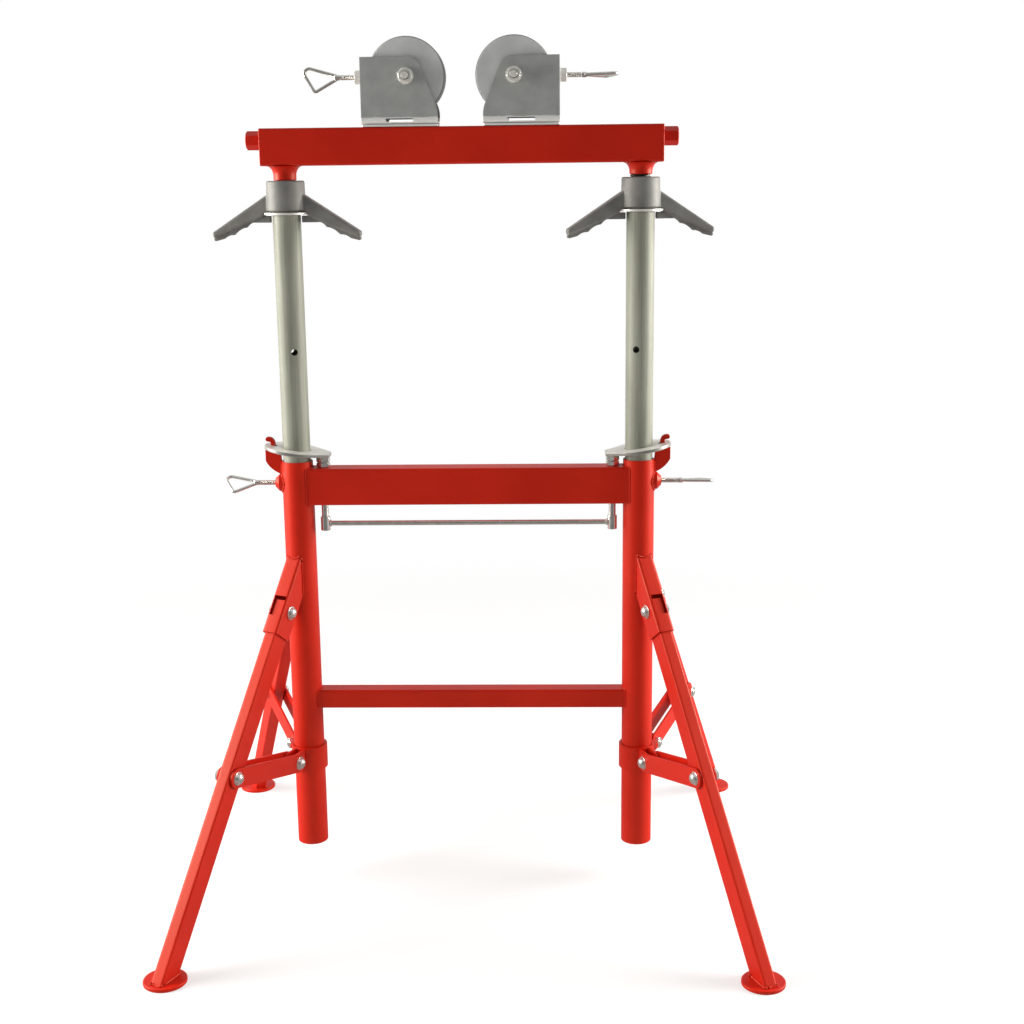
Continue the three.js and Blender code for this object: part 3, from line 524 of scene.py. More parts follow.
def lathe(profile, sides=64):
    """A body turned about Z from a closed loop of (radius, height) points."""
    count = len(profile)
    points, faces = [], []
    for i in range(sides):
        angle = 2 * pi * i / sides
        points += [(radius * cos(angle), radius * sin(angle), height) for radius, height in profile]
        near, far = i * count, (i + 1) % sides * count
        for k in range(count):
            ahead = (k + 1) % count
            faces.append((near + k, far + k, far + ahead, near + ahead))
    return Shape(points, faces)


def tube(inner, outer, low, high, edge, sides=64):
    """A turned ring with its four edges broken by small rounds."""
    corners = [(inner, low, edge), (outer, low, edge), (outer, high, edge), (inner, high, edge)]
    return lathe(rounded(corners, 2), sides)


def disc(radius, low, high, edge, sides=48):
    """A turned solid with both rims rounded."""
    corners = [(0, low, 0), (radius, low, edge), (radius, high, edge), (0, high, 0)]
    return lathe(rounded(corners, 3), sides)


def plate(outline, low, high, edge=0.0, steps=2):
    """An anticlockwise outline in X and Y raised from low to high, with its edges rounded."""
    flat = np.array([tuple(point) for point in outline])
    ahead = np.roll(flat, -1, axis=0) - flat
    ahead /= np.linalg.norm(ahead, axis=1)[:, None]
    out_ahead = np.stack([ahead[:, 1], -ahead[:, 0]], axis=1)
    out_behind = np.roll(out_ahead, 1, axis=0)
    mitre = (out_ahead + out_behind) / (1 + (out_ahead * out_behind).sum(axis=1))[:, None]
    rings = []
    for k in range(steps + 1 if edge else 1):
        angle = pi / 2 * k / steps
        rings.append((edge * (1 - sin(angle)), edge * (1 - cos(angle))))
    levels = [(inset, low + lift) for inset, lift in rings]
    levels += [(inset, high - lift) for inset, lift in reversed(rings)]
    count = len(flat)
    points, faces = [], []
    for inset, height in levels:
        points += [(x, y, height) for x, y in flat - mitre * inset]
    for row in range(len(levels) - 1):
        for k in range(count):
            next_k = (k + 1) % count
            faces.append((row * count + k, row * count + next_k, (row + 1) * count + next_k, (row + 1) * count + k))
    last = (len(levels) - 1) * count
    faces += [tuple(range(count - 1, -1, -1)), tuple(range(last, last + count))]
    return Shape(points, faces)


def mesh_of(shape, name):
    """A Blender mesh of a shape, with doubled points merged and every face turned outward."""
    mesh = bpy.data.meshes.new(name)
    mesh.from_pydata(shape.points.tolist(), [], shape.faces)
    form = bmesh.new()
    form.from_mesh(mesh)
    bmesh.ops.remove_doubles(form, verts=form.verts, dist=WELD_DISTANCE)
    bmesh.ops.recalc_face_normals(form, faces=form.faces)
    form.to_mesh(mesh)
    form.free()
    return mesh


def piece(name, shape, body, finish, *nodes, crease=35):
    """Show a shape as a piece that rides on a body, in place of the CAD nodes that it stands for."""
    mesh = mesh_of(shape, name)
    mesh.shade_smooth()
    mesh.set_sharp_from_angle(angle=radians(crease))
    mesh.materials.append(FINISHES[finish])
    made = bpy.data.objects.new(name, mesh)
    bpy.context.scene.collection.objects.link(made)
    flat_faces = made.modifiers.new("flat_faces", "WEIGHTED_NORMAL")
    flat_faces.keep_sharp = True
    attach(made, body)
    if nodes:
        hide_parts(*nodes)
    print(f"{name}: {len(mesh.polygons)} faces on {body}")
    return made


def column(side):
    """The frame of one upright: local +X points outward."""
    outward = SIDES[side]
    return Matrix.Translation((outward * POST_X, 0, 0)) @ Matrix.Rotation(pi if outward < 0 else 0, 4, "Z")


# %% [markdown]
# ## Cutting
# Slots, cross holes and the saddle at a tube's end are cut out of a finished shape, as a saw or a drill would.
# Blender's exact boolean does this on scratch objects, and the result comes back as a plain shape.

# %% Shapes: cutting and fusing


def evaluated(objects):
    """The shape of the first object after its modifiers, with all the scratch objects removed."""
    bpy.context.view_layer.update()
    result = objects[0].evaluated_get(bpy.context.evaluated_depsgraph_get())
    mesh = result.to_mesh()
    points = np.zeros(len(mesh.vertices) * 3)
    mesh.vertices.foreach_get("co", points)
    shape = Shape(points.reshape(-1, 3), [tuple(face.vertices) for face in mesh.polygons])
    result.to_mesh_clear()
    for scratch in objects:
        bpy.data.meshes.remove(scratch.data)
    return shape


def scratch(shape, name):
    made = bpy.data.objects.new(name, mesh_of(shape, name))
    bpy.context.scene.collection.objects.link(made)
    return made


def cut(shape, *tools):
    """The shape with the tools' space taken away."""
    objects = [scratch(shape, "stock")]
    for tool in tools:
        cutter = scratch(tool, "cutter")
        step = objects[0].modifiers.new("cut", "BOOLEAN")
        step.operation = "DIFFERENCE"
        step.solver = "EXACT"
        step.object = cutter
        objects.append(cutter)
    return evaluated(objects)


def fused(shape, voxel, smoothing):
    """Overlapping bodies melted into one skin, as in a casting or a welded wire."""
    stock = scratch(shape, "stock")
    skin = stock.modifiers.new("skin", "REMESH")
    skin.mode = "VOXEL"
    skin.voxel_size = voxel
    soften = stock.modifiers.new("soften", "SMOOTH")
    soften.factor = 0.5
    soften.iterations = smoothing
    return evaluated([stock])


print("cutting and fusing ready")

# %% [markdown]
# ## Weld beads
# The frame is welded, and every seam shows as a small rippled bead under the paint. A bump in the paint would not
# change the outline of a corner, so a bead is a wire along the seam whose radius swells once for each puddle.

# %% Shapes: wires and beads
PUDDLE = 2.4 * MM


def swept(path, radius, sides=12):
    """A round wire along a path of points."""
    line = [Vector(point) for point in path]
    points, faces = [], []
    ahead = (line[1] - line[0]).normalized()
    across = ahead.orthogonal().normalized()
    for i, here in enumerate(line):
        ahead = (line[min(i + 1, len(line) - 1)] - line[max(i - 1, 0)]).normalized()
        across = (across - ahead * across.dot(ahead)).normalized()
        over = ahead.cross(across)
        size = radius(i / (len(line) - 1)) if callable(radius) else radius
        for k in range(sides):
            angle = 2 * pi * k / sides
            points.append(here + (across * cos(angle) + over * sin(angle)) * size)
    for row in range(len(line) - 1):
        for k in range(sides):
            next_k = (k + 1) % sides
            faces.append((row * sides + k, row * sides + next_k, (row + 1) * sides + next_k, (row + 1) * sides + k))
    last = (len(line) - 1) * sides
    faces += [tuple(range(sides - 1, -1, -1)), tuple(range(last, last + sides))]
    return Shape(points, faces)


def bead(path, size=1.3 * MM):
    """A weld along a path, with one ripple for each puddle."""
    line = [Vector(path[0])]
    for here in path[1:]:
        ahead = Vector(here)
        parts = max(1, round((ahead - line[-1]).length / (PUDDLE / 4)))
        line += [line[-1].lerp(ahead, 1 / (parts - k)) for k in range(parts)]
    puddles = max(2, round(len(line) / 4))
    return swept(line, lambda t: size * (1 + 0.17 * sin(2 * pi * puddles * t)), 8)


print("wires and beads ready")

# %% [markdown]
# ## Uprights
# Each upright is a length of round pipe with a threaded boss welded to its outer side for the clamp screw. The
# pipe is a lathe profile with broken edges. The boss's foot follows the pipe, so its lowest ring is set on
# the cylinder by the formula of a circle.

# %% Build the uprights
PIPE_RADIUS = 24.15 * MM
PIPE_BORE = 21.55 * MM
PIPE_EDGE = 0.8 * MM
STUD_RADIUS = 4 * MM
BOSS_RADIUS = 13.5 * MM
BOSS_END = PIPE_RADIUS + 10.5 * MM
BOSS_CHAMFER = 6.5 * MM
BOSS_HOLE = STUD_RADIUS + 0.3 * MM
CLAMP_Z = joints["right_clamp_screw_turn"]["pos_m"][2]


def boss():
    wall_middle = (PIPE_RADIUS + PIPE_BORE) / 2
    foot = 0.0
    corners = [
        (BOSS_HOLE, foot, 0),
        (BOSS_RADIUS, foot, 0),
        (BOSS_RADIUS, BOSS_END - BOSS_CHAMFER, 1 * MM),
        (BOSS_RADIUS - BOSS_CHAMFER, BOSS_END, 0.8 * MM),
        (BOSS_HOLE, BOSS_END, 0.6 * MM),
    ]
    shape = lathe(rounded(corners, 3), 48)
    on_foot = shape.points[:, 2] == foot
    sideways = shape.points[on_foot, 1]
    shape.points[on_foot, 2] = np.sqrt(wall_middle**2 - sideways**2)
    return shape.moved(Matrix.Translation((0, 0, CLAMP_Z)) @ ALONG_X)


def boss_weld():
    turns = [2 * pi * k / 48 for k in range(49)]
    reach = BOSS_RADIUS + 0.6 * MM
    ring = [(sqrt(PIPE_RADIUS**2 - (reach * cos(a)) ** 2), reach * cos(a), CLAMP_Z + reach * sin(a)) for a in turns]
    return bead(ring, 1.9 * MM)


clamp_drill = disc(BOSS_HOLE, 0, BOSS_END, 0, 48).moved(Matrix.Translation((0, 0, CLAMP_Z)) @ ALONG_X)
for side in SIDES:
    pipe = cut(tube(PIPE_BORE, PIPE_RADIUS, UPRIGHT_LOW, UPRIGHT_TOP, PIPE_EDGE, 80), clamp_drill)
    shape = (pipe + boss() + boss_weld()).moved(column(side))
    piece(f"{side}_upright_pipe", shape, "base_frame", "red_paint", f"{side}_upright")

# %% [markdown]
# ## Rails between the uprights
# The cross rail and the lower bar are box tubes whose ends are sawn to the round of the uprights. A boolean
# could cut the saddle, but each point of the section simply ends where its line meets the pipe.

# %% Build the welded rails
SADDLE_RADIUS = PIPE_RADIUS - 0.1 * MM
CORNER_STEP = 2.5 * MM


def divided(outline, step):
    """An outline with extra points, so that no stretch is longer than a step."""
    points = []
    for here, ahead in zip(outline, outline[1:] + outline[:1]):
        parts = max(1, int((ahead - here).length / step))
        points += [here.lerp(ahead, k / parts) for k in range(parts)]
    return points


def pulled(outer, inner, low_end, high_end):
    """A tube section pulled along Z, whose ends lie where the two functions of a section point say."""
    points, faces = [], []
    count = len(outer)
    for section in (outer, inner):
        for end in (low_end, high_end):
            points += [(x, y, end(x, y)) for x, y in section]
    for k in range(count):
        ahead = (k + 1) % count
        outer_low, outer_high, inner_low, inner_high = (count * row for row in range(4))
        faces.append((outer_low + k, outer_low + ahead, outer_high + ahead, outer_high + k))
        faces.append((inner_low + ahead, inner_low + k, inner_high + k, inner_high + ahead))
        faces.append((outer_high + k, outer_high + ahead, inner_high + ahead, inner_high + k))
        faces.append((outer_low + ahead, outer_low + k, inner_low + k, inner_low + ahead))
    return Shape(points, faces)


def box_section(width, height, wall, corner):
    """Matching outer and inner outlines of a box tube."""
    outer = divided(rectangle(width, height, corner), CORNER_STEP)
    shrink_x = (width - 2 * wall) / width
    shrink_y = (height - 2 * wall) / height
    inner = [Vector((point.x * shrink_x, point.y * shrink_y)) for point in outer]
    return outer, inner


def coped_rail(node, wall, corner):
    """A box tube between the uprights, in the CAD node's place. Its section lies in Z and Y."""
    low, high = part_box(node)
    outer, inner = box_section(high.z - low.z, high.y - low.y, wall, corner)

    def saddle(height, depth):
        return POST_X - sqrt(SADDLE_RADIUS**2 - depth**2)

    shape = pulled(outer, inner, lambda x, y: -saddle(x, y), saddle)
    return shape.moved(Matrix.Translation((0, 0, (low.z + high.z) / 2)) @ ALONG_X)


def saddle_welds(node, corner):
    """The beads round both ends of a rail."""
    low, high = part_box(node)
    across = rectangle(high.z - low.z + 0.6 * MM, high.y - low.y + 0.6 * MM, corner)
    ring = divided(across + across[:1], CORNER_STEP)
    welds = Shape([], [])
    for outward in SIDES.values():
        path = []
        for height, depth in ring[: -1]:
            reach = POST_X - sqrt(PIPE_RADIUS**2 - depth**2)
            path.append((outward * reach, depth, (low.z + high.z) / 2 + height))
        welds = welds + bead(path + path[:1])
    return welds


PUSH_BOLT_X = POST_X - 40.5 * MM
PUSH_BOLT_RADIUS = 5.5 * MM
cross_rail = coped_rail("cross_rail", 2.5 * MM, 3.2 * MM)
drill = disc(PUSH_BOLT_RADIUS + 0.3 * MM, UPRIGHT_LOW, UPRIGHT_TOP, 0, 24)
drills = [drill.moved(Matrix.Translation((x, 0, 0))) for x in (-PUSH_BOLT_X, PUSH_BOLT_X)]
cross_rail = cut(cross_rail, *drills) + saddle_welds("cross_rail", 3.5 * MM)
piece("cross_rail_tube", cross_rail, "base_frame", "red_paint", "cross_rail")
lower_bar = coped_rail("lower_crossbar", 2 * MM, 3 * MM) + saddle_welds("lower_crossbar", 3.2 * MM)
piece("lower_bar_tube", lower_bar, "base_frame", "red_paint", "lower_crossbar")

# %% [markdown]
# ## Lock hooks
# A flat hook on the outer side of each upright reaches up through the lock plate. It is flame-cut plate, so it
# is one outline with short curves and softened edges.

# %% Build the lock hooks
HOOK_HALF = 4 * MM
PLATE_EDGE = 0.8 * MM
FINGER_INNER, FINGER_OUTER = 32.5 * MM, 39.5 * MM
HOOK_REACH, CURL_REACH = 48.5 * MM, 44 * MM


def bend(start, control, end, steps=7):
    """Points along a curve that leaves start towards control and arrives at end, without its last point."""
    first, second, third = Vector(start), Vector(control), Vector(end)
    return [
        first * (1 - t) ** 2 + second * 2 * t * (1 - t) + third * t**2
        for t in (k / steps for k in range(steps))
    ]


def hook_outline():
    top = 37.5 * MM
    shoulder = 17.2 * MM
    foot = -21.5 * MM
    nose = 3.5 * MM
    inside = PIPE_RADIUS - 0.6 * MM
    outline = bend((inside, foot), (HOOK_REACH - 7 * MM, foot + 7 * MM), (HOOK_REACH, 0))
    outline += [Vector((HOOK_REACH, 0)), Vector((HOOK_REACH, shoulder)), Vector((FINGER_OUTER, shoulder))]
    outline += bend((FINGER_OUTER, top - 9 * MM), (FINGER_OUTER + MM, top - 2 * nose), (CURL_REACH, top - 2 * nose))
    for k in range(9):
        angle = pi * (k / 8 - 0.5)
        outline.append(Vector((CURL_REACH + nose * cos(angle), top - nose + nose * sin(angle))))
    outline += bend((CURL_REACH - MM, top), (FINGER_INNER, top), (FINGER_INNER, top - 14.4 * MM))
    outline += [Vector((FINGER_INNER, top - 14.4 * MM)), Vector((FINGER_INNER, shoulder))]
    outline += [Vector((FINGER_INNER - 7 * MM, shoulder)), Vector((inside, -nose))]
    return outline


for side in SIDES:
    hook = plate(hook_outline(), -HOOK_HALF, HOOK_HALF, PLATE_EDGE).moved(STANDING)
    for seam in (-HOOK_HALF, HOOK_HALF):
        reach = sqrt(PIPE_RADIUS**2 - seam**2)
        hook = hook + bead([(reach, seam, -21 * MM), (reach, seam, -4 * MM)], 2 * MM)
    stood = hook.moved(column(side) @ Matrix.Translation((0, 0, UPRIGHT_TOP)))
    piece(f"{side}_hook_plate", stood, "base_frame", "red_paint", f"{side}_lock_hook")

# %% [markdown]
# ## Lock plates
# Each plate hangs on its hook and grips the post while it is tilted. It is a disc of plate drawn out to a nose over
# the push bolt, drilled for the post and slotted for the hook's finger. The straight flanks touch both rounds.

# %% Build the lock plates
LOCK_TILT = radians(8.8)
LOCK_HALF = 2.5 * MM
LOCK_RISE = 16.4 * MM
LOCK_HOLE = 22.0 * MM
LOCK_ROUND, LOCK_ROUND_X = 45.5 * MM, 4 * MM
NOSE_END, NOSE_HALF, NOSE_CORNER = 52.5 * MM, 17 * MM, 6 * MM
SLOT_SIZE = (10.2 * MM, 9 * MM)


def arc(x, y, radius, start, end, steps):
    """Points on an arc, both ends included."""
    turns = [start + (end - start) * k / steps for k in range(steps + 1)]
    return [Vector((x + radius * cos(turn), y + radius * sin(turn))) for turn in turns]


def lock_plate():
    nose_x, nose_y = NOSE_CORNER - NOSE_END, NOSE_HALF - NOSE_CORNER
    apart = hypot(LOCK_ROUND_X - nose_x, nose_y)
    tangent = atan2(nose_y, nose_x - LOCK_ROUND_X) - acos((LOCK_ROUND - NOSE_CORNER) / apart)
    outline = arc(LOCK_ROUND_X, 0, LOCK_ROUND, -tangent, tangent, 56)
    outline += arc(nose_x, nose_y, NOSE_CORNER, tangent, pi, 6)
    outline += arc(nose_x, -nose_y, NOSE_CORNER, pi, 2 * pi - tangent, 6)
    grip = disc(LOCK_HOLE, -5 * LOCK_HALF, 5 * LOCK_HALF, 0, 64)
    slot_x = (FINGER_INNER + FINGER_OUTER) / 2
    slot = plate(rectangle(*SLOT_SIZE, 0), -5 * LOCK_HALF, 5 * LOCK_HALF)
    blank = plate(outline, -LOCK_HALF, LOCK_HALF, PLATE_EDGE)
    return cut(blank, grip, slot.moved(Matrix.Translation((slot_x, 0, 0))))


for side in SIDES:
    seat = Matrix.Translation((0, 0, UPRIGHT_TOP + LOCK_RISE)) @ Matrix.Rotation(-LOCK_TILT, 4, "Y")
    shape = lock_plate().moved(column(side) @ seat)
    piece(f"{side}_lock_plate_cut", shape, f"{side}_lock_plate", "plate_zinc", f"{side}_lock_plate")

# %% [markdown]
# ## Posts
# The sliding posts are plated pipe with one cross hole, a little turned, for a pin. The hole goes through both
# walls, so it is drilled with a boolean, and the pipe's ends are broken on the lathe.

# %% Build the posts
POST_RADIUS = 21.1 * MM
POST_BORE = 18.5 * MM
PIN_HOLE = 5 * MM
PIN_Z = POST_TOP - 204 * MM
PIN_TURN = radians(18)

for side, outward in SIDES.items():
    pipe = tube(POST_BORE, POST_RADIUS, POST_LOW, POST_TOP, 0.7 * MM, 96)
    pin = disc(PIN_HOLE, -2 * POST_RADIUS, 2 * POST_RADIUS, 0, 32)
    pin = pin.moved(Matrix.Translation((0, 0, PIN_Z)) @ Matrix.Rotation(-outward * PIN_TURN, 4, "Z") @ ALONG_Y)
    shape = cut(pipe, pin).moved(Matrix.Translation((outward * POST_X, 0, 0)))
    piece(f"{side}_post_pipe", shape, f"{side}_post", "zinc_tube", f"{side}_post")
    low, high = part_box(f"{side}_thrust_washer")
    ring = tube(16.4 * MM, (high.x - low.x) / 2, low.z, high.z, 0.8 * MM, 80)
    ring = ring.moved(Matrix.Translation((outward * POST_X, 0, 0)))
    piece(f"{side}_washer_ring", ring, f"{side}_post", "pale_zinc", f"{side}_thrust_washer")

# %% [markdown]
# ## Threads and hexagons
# The stand has acme screws under the rail, studs for the clamps and brakes, and hexagons on the bolts. A thread
# could be a texture, but its teeth show at the edge of the screw, so the radius is a wave of angle and
# height. A hexagon is the same idea: the flats' radius, limited by the cone that chamfers the corners.

# %% Shapes: threads and hexagons


def stacked(levels, radius_at, sides):
    """A closed body about Z whose radius depends on the angle and on the height."""
    points, faces = [], []
    for height in levels:
        for k in range(sides):
            angle = 2 * pi * k / sides
            radius = radius_at(angle, height)
            points.append((radius * cos(angle), radius * sin(angle), height))
    for row in range(len(levels) - 1):
        for k in range(sides):
            ahead = (k + 1) % sides
            faces.append((row * sides + k, row * sides + ahead, (row + 1) * sides + ahead, (row + 1) * sides + k))
    last = (len(levels) - 1) * sides
    faces += [tuple(range(sides - 1, -1, -1)), tuple(range(last, last + sides))]
    return Shape(points, faces)


def screw(radius, pitch, depth, low, high, hand=1, flat=0.0, sides=28, rows=6):
    """A threaded rod along Z. Flat is the share of the pitch that the crest keeps at full radius."""
    count = max(2, round((high - low) / pitch * rows))
    levels = [low + (high - low) * k / count for k in range(count + 1)]

    def radius_at(angle, height):
        phase = (height / pitch - hand * angle / (2 * pi)) % 1.0
        slope = abs(2 * phase - 1)
        tooth = min(1.0, max(0.0, (slope - flat) / (1 - 2 * flat)))
        lead = min(height - low, high - height)
        return min(radius - depth * tooth, radius - 1.1 * depth + lead)

    return stacked(levels, radius_at, sides)


def hexagon(across, low, high, chamfer_low=True, chamfer_high=True, sides=72):
    """A six-sided bar along Z whose corners are cut by a chamfer cone at the chosen ends."""
    rise = across * 0.0775
    fine = [rise * k / 3 for k in range(4)]
    levels = [low + step for step in fine] + [high - step for step in reversed(fine)]

    def radius_at(angle, height):
        flat = across / 2 / cos((angle + pi / 6) % (pi / 3) - pi / 6)
        if chamfer_low:
            flat = min(flat, across * 0.475 + (height - low) * 1.9)
        if chamfer_high:
            flat = min(flat, across * 0.475 + (high - height) * 1.9)
        return flat

    return stacked(levels, radius_at, sides)


print("threads and hexagons ready")

# %% [markdown]
# ## Jack screws
# Under each end of the rail a trapezoidal screw goes down through the handle into the post. Its painted neck
# flares where it is welded to the rail, and a few turns of dark thread show between neck and handle.

# %% Build the jack screws
JACK_RADIUS = 16 * MM
JACK_PITCH = 6 * MM
NECK_RADIUS = 17 * MM
NECK_FLARE, FLARE_HEIGHT = 10 * MM, 14 * MM
NECK_LOW = RAIL_LOW.z - 21 * MM
JACK_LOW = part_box("right_jack_screw")[0].z
BARE_THREAD = {"left": 0.0, "right": 3.6 * MM}

for side, outward in SIDES.items():
    foot = NECK_LOW + BARE_THREAD[side]
    thread = screw(JACK_RADIUS, JACK_PITCH, 3 * MM, JACK_LOW, foot + 2 * MM, flat=0.36, sides=36, rows=10)
    neck = [(0, foot), (NECK_RADIUS - 0.8 * MM, foot), (NECK_RADIUS, foot + 0.8 * MM)]
    for k in range(11):
        turn = pi / 2 * k / 10
        drop = 0.2 * MM + FLARE_HEIGHT * (1 - sin(turn))
        neck.append((NECK_RADIUS + NECK_FLARE * (1 - cos(turn)), RAIL_LOW.z - drop))
    neck.append((0, RAIL_LOW.z - 0.2 * MM))
    stand = Matrix.Translation((outward * POST_X, 0, 0))
    node = f"{side}_jack_screw"
    piece(f"{side}_jack_thread", thread.moved(stand), "top_rail", "dark_steel", node)
    piece(f"{side}_jack_neck", lathe(neck, 72).moved(stand), "top_rail", "red_paint", node)

# %% [markdown]
# ## Wing handles
# The handles are castings: a round hub with two drooping arms, and three shallow finger grips on the underside
# of each arm. Hub and arms are drawn apart and melted together, which leaves the soft fillets of a casting.

# %% Build the wing handles
HUB_LOW = HUB_TOP - 46 * MM
HUB_RADIUS = 29.25 * MM
HANDLE_TURNS = {"left": radians(-4), "right": radians(12)}
ARM_HALF, WEB_HALF = 9.5 * MM, 4.5 * MM
ARM_EDGE = 2.2 * MM
ARM_REACH, TIP_TOP, TIP_LOW, TIP_CORNER = 109.5 * MM, -30.5 * MM, -39 * MM, 3 * MM
BAR_TOP, BAR_FOOT = 25 * MM, -3.5 * MM
GRIPS = [(x * MM, z * MM) for x, z in ((48, -15.2), (61, -22.4), (81, -33.4), (99.5, -41.2))]
GRIP_DEPTH = 2.6 * MM
POST_ROOM, WASHER_ROOM, ROOM_DEEP = 23.6 * MM, 34.5 * MM, 5.2 * MM
HUB_LIFT = 2 * MM


def web_outline():
    """The thin lower web of an arm, with its three finger grips, clear of the post and its washer."""
    outline = [Vector((POST_ROOM, GRIPS[0][1]))]
    for near, far in zip(GRIPS, GRIPS[1:]):
        control = ((near[0] + far[0]) / 2, (near[1] + far[1]) / 2 + 2 * GRIP_DEPTH)
        outline += bend(near, control, far)
    outline += arc(ARM_REACH, TIP_LOW, TIP_CORNER, radians(-90), 0, 5)
    outline += [Vector((ARM_REACH, TIP_TOP)), Vector((WASHER_ROOM, -3 * MM)), Vector((WASHER_ROOM, -ROOM_DEEP))]
    return outline + [Vector((POST_ROOM, -ROOM_DEEP))]


def bar_outline():
    """The thick upper bar of an arm, which tapers from the hub to the tip."""
    outline = [Vector((0, BAR_FOOT)), Vector((HUB_RADIUS, BAR_FOOT))]
    outline += arc(ARM_REACH, TIP_TOP - 3 * MM, TIP_CORNER, radians(-112), 0, 5)
    outline += arc(ARM_REACH, TIP_TOP, TIP_CORNER, 0, radians(57), 5)
    return outline + [Vector((HUB_RADIUS, BAR_TOP)), Vector((0, BAR_TOP))]


def wing_handle():
    height = HUB_TOP - HUB_LOW
    half_turn = Matrix.Rotation(pi, 4, "Z")
    thread_room = disc(16.4 * MM, -60 * MM, 60 * MM, 0, 48)
    rooms = [thread_room, disc(WASHER_ROOM, -60 * MM, 0, 0, 64)]
    profile = [
        (0, 0, 0),
        (HUB_RADIUS - 4 * MM, 0, 0),
        (HUB_RADIUS - 4 * MM, HUB_LIFT, 0),
        (HUB_RADIUS, HUB_LIFT, 1 * MM),
        (HUB_RADIUS - 0.7 * MM, height, 2.5 * MM),
        (0, height, 0),
    ]
    hub = cut(lathe(rounded(profile, 5), 80), thread_room)
    bar = cut(plate(bar_outline(), -ARM_HALF, ARM_HALF, ARM_EDGE, 3).moved(STANDING), *rooms)
    web = plate(web_outline(), -WEB_HALF, WEB_HALF, 1.2 * MM, 2).moved(STANDING)
    arm = bar + web
    return fused(hub + arm + arm.moved(half_turn), 0.8 * MM, 7)


for side, outward in SIDES.items():
    stand = Matrix.Translation((outward * POST_X, 0, HUB_LOW)) @ Matrix.Rotation(HANDLE_TURNS[side], 4, "Z")
    piece(f"{side}_handle_casting", wing_handle().moved(stand), f"{side}_handle", "cast_grey", f"{side}_handle", crease=175)

# %% [markdown]
# ## Top rail and lead screw
# The rail is a closed box tube with a slot under each carriage. Inside it a screw with a left-hand and a
# right-hand half moves the carriages together or apart, and its red hexagon ends take a wrench.

# %% Build the rail and its screw
RAIL_WALL = 3 * MM
SLOT_ENDS = (56.5 * MM, 241.5 * MM)
SLOT_WIDTH, SLOT_CORNER = 16 * MM, 2.5 * MM
LEAD_Z = joints["lead_screw_turn"]["pos_m"][2]
LEAD_RADIUS = 10 * MM
HEX_ACROSS = 24 * MM
HEX_LENGTH = 22 * MM
rail_length = RAIL_HIGH.x - RAIL_LOW.x
rail_depth = RAIL_HIGH.y - RAIL_LOW.y
rail_height = RAIL_HIGH.z - RAIL_LOW.z
rail_middle = (RAIL_LOW.z + RAIL_HIGH.z) / 2
ends_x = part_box("lead_screw")

section = rectangle(rail_height, rail_depth, 4 * MM, 5)
rail = plate(section, -rail_length / 2, rail_length / 2, 1.2 * MM, 3)
room = plate(
    rectangle(rail_height - 2 * RAIL_WALL, rail_depth - 2 * RAIL_WALL, 1.5 * MM),
    -rail_length / 2 + 4 * MM,
    rail_length / 2 - 4 * MM,
)
lying = Matrix.Translation((0, 0, rail_middle)) @ ALONG_X
bearing = disc(LEAD_RADIUS + 0.4 * MM, -rail_length, rail_length, 0, 40)
slots = []
for outward in SIDES.values():
    length = SLOT_ENDS[1] - SLOT_ENDS[0]
    slot = plate(rectangle(length, SLOT_WIDTH, SLOT_CORNER), -10 * MM, 10 * MM)
    slots.append(slot.moved(Matrix.Translation((outward * sum(SLOT_ENDS) / 2, 0, RAIL_HIGH.z))))
drilled = cut(
    rail.moved(lying),
    room.moved(lying),
    bearing.moved(Matrix.Translation((0, 0, LEAD_Z)) @ ALONG_X),
    *slots,
)
piece("top_rail_tube", drilled, "top_rail", "red_paint", "top_rail")

half = screw(LEAD_RADIUS, 4 * MM, 2 * MM, 6 * MM, rail_length / 2 - 6 * MM, hand=1, flat=0.36, sides=24, rows=8)
other = screw(LEAD_RADIUS, 4 * MM, 2 * MM, 6 * MM, rail_length / 2 - 6 * MM, hand=1, flat=0.36, sides=24, rows=8)
plain = disc(LEAD_RADIUS - 0.4 * MM, -7 * MM, 7 * MM, 1 * MM)
journal = disc(LEAD_RADIUS, rail_length / 2 - 7 * MM, rail_length / 2 + 1 * MM, 0.5 * MM)
end_hex = hexagon(HEX_ACROSS, ends_x[1].x - HEX_LENGTH, ends_x[1].x, True, True)
hex_turn = Matrix.Rotation(radians(30), 4, "Z")
on_axis = Matrix.Translation((0, 0, LEAD_Z)) @ ALONG_X
mirror = Matrix.Diagonal((1, 1, -1, 1))
rod = half + other.moved(mirror) + plain + journal + journal.moved(mirror)
piece("lead_screw_rod", rod.moved(on_axis), "lead_screw", "dark_steel", "lead_screw")
hexes = end_hex.moved(hex_turn) + end_hex.moved(mirror @ hex_turn)
piece("lead_screw_hexagons", hexes.moved(on_axis), "lead_screw", "red_paint", "lead_screw")

# %% [markdown]
# ## Rollers and axles
# The rollers are turned from bar: flat faces, a small chamfer and a drilled bore. Each runs on a bolt with a
# washer at both sides and a nut at the front.

# %% Build the rollers and axle bolts
BORE_RADIUS = 6.3 * MM
ROLLER_CHAMFER = 1.8 * MM
AXLE_RADIUS = 6 * MM
WASHER_FACE = 27.3 * MM
WASHER_RADIUS, WASHER_THICK = 12 * MM, 2 * MM
NUT_ACROSS, NUT_HEIGHT, HEAD_HEIGHT = 19 * MM, 9.6 * MM, 7.8 * MM
SEAT_GAP = 0.3 * MM
BOLT_END = -WASHER_FACE - WASHER_THICK - SEAT_GAP - NUT_HEIGHT - 5 * MM


def carriage(side):
    """The frame of one roller's axle: local +X points outward."""
    outward = SIDES[side]
    return Matrix.Translation((outward * AXLE.x, 0, AXLE.z)) @ Matrix.Rotation(pi if outward < 0 else 0, 4, "Z")


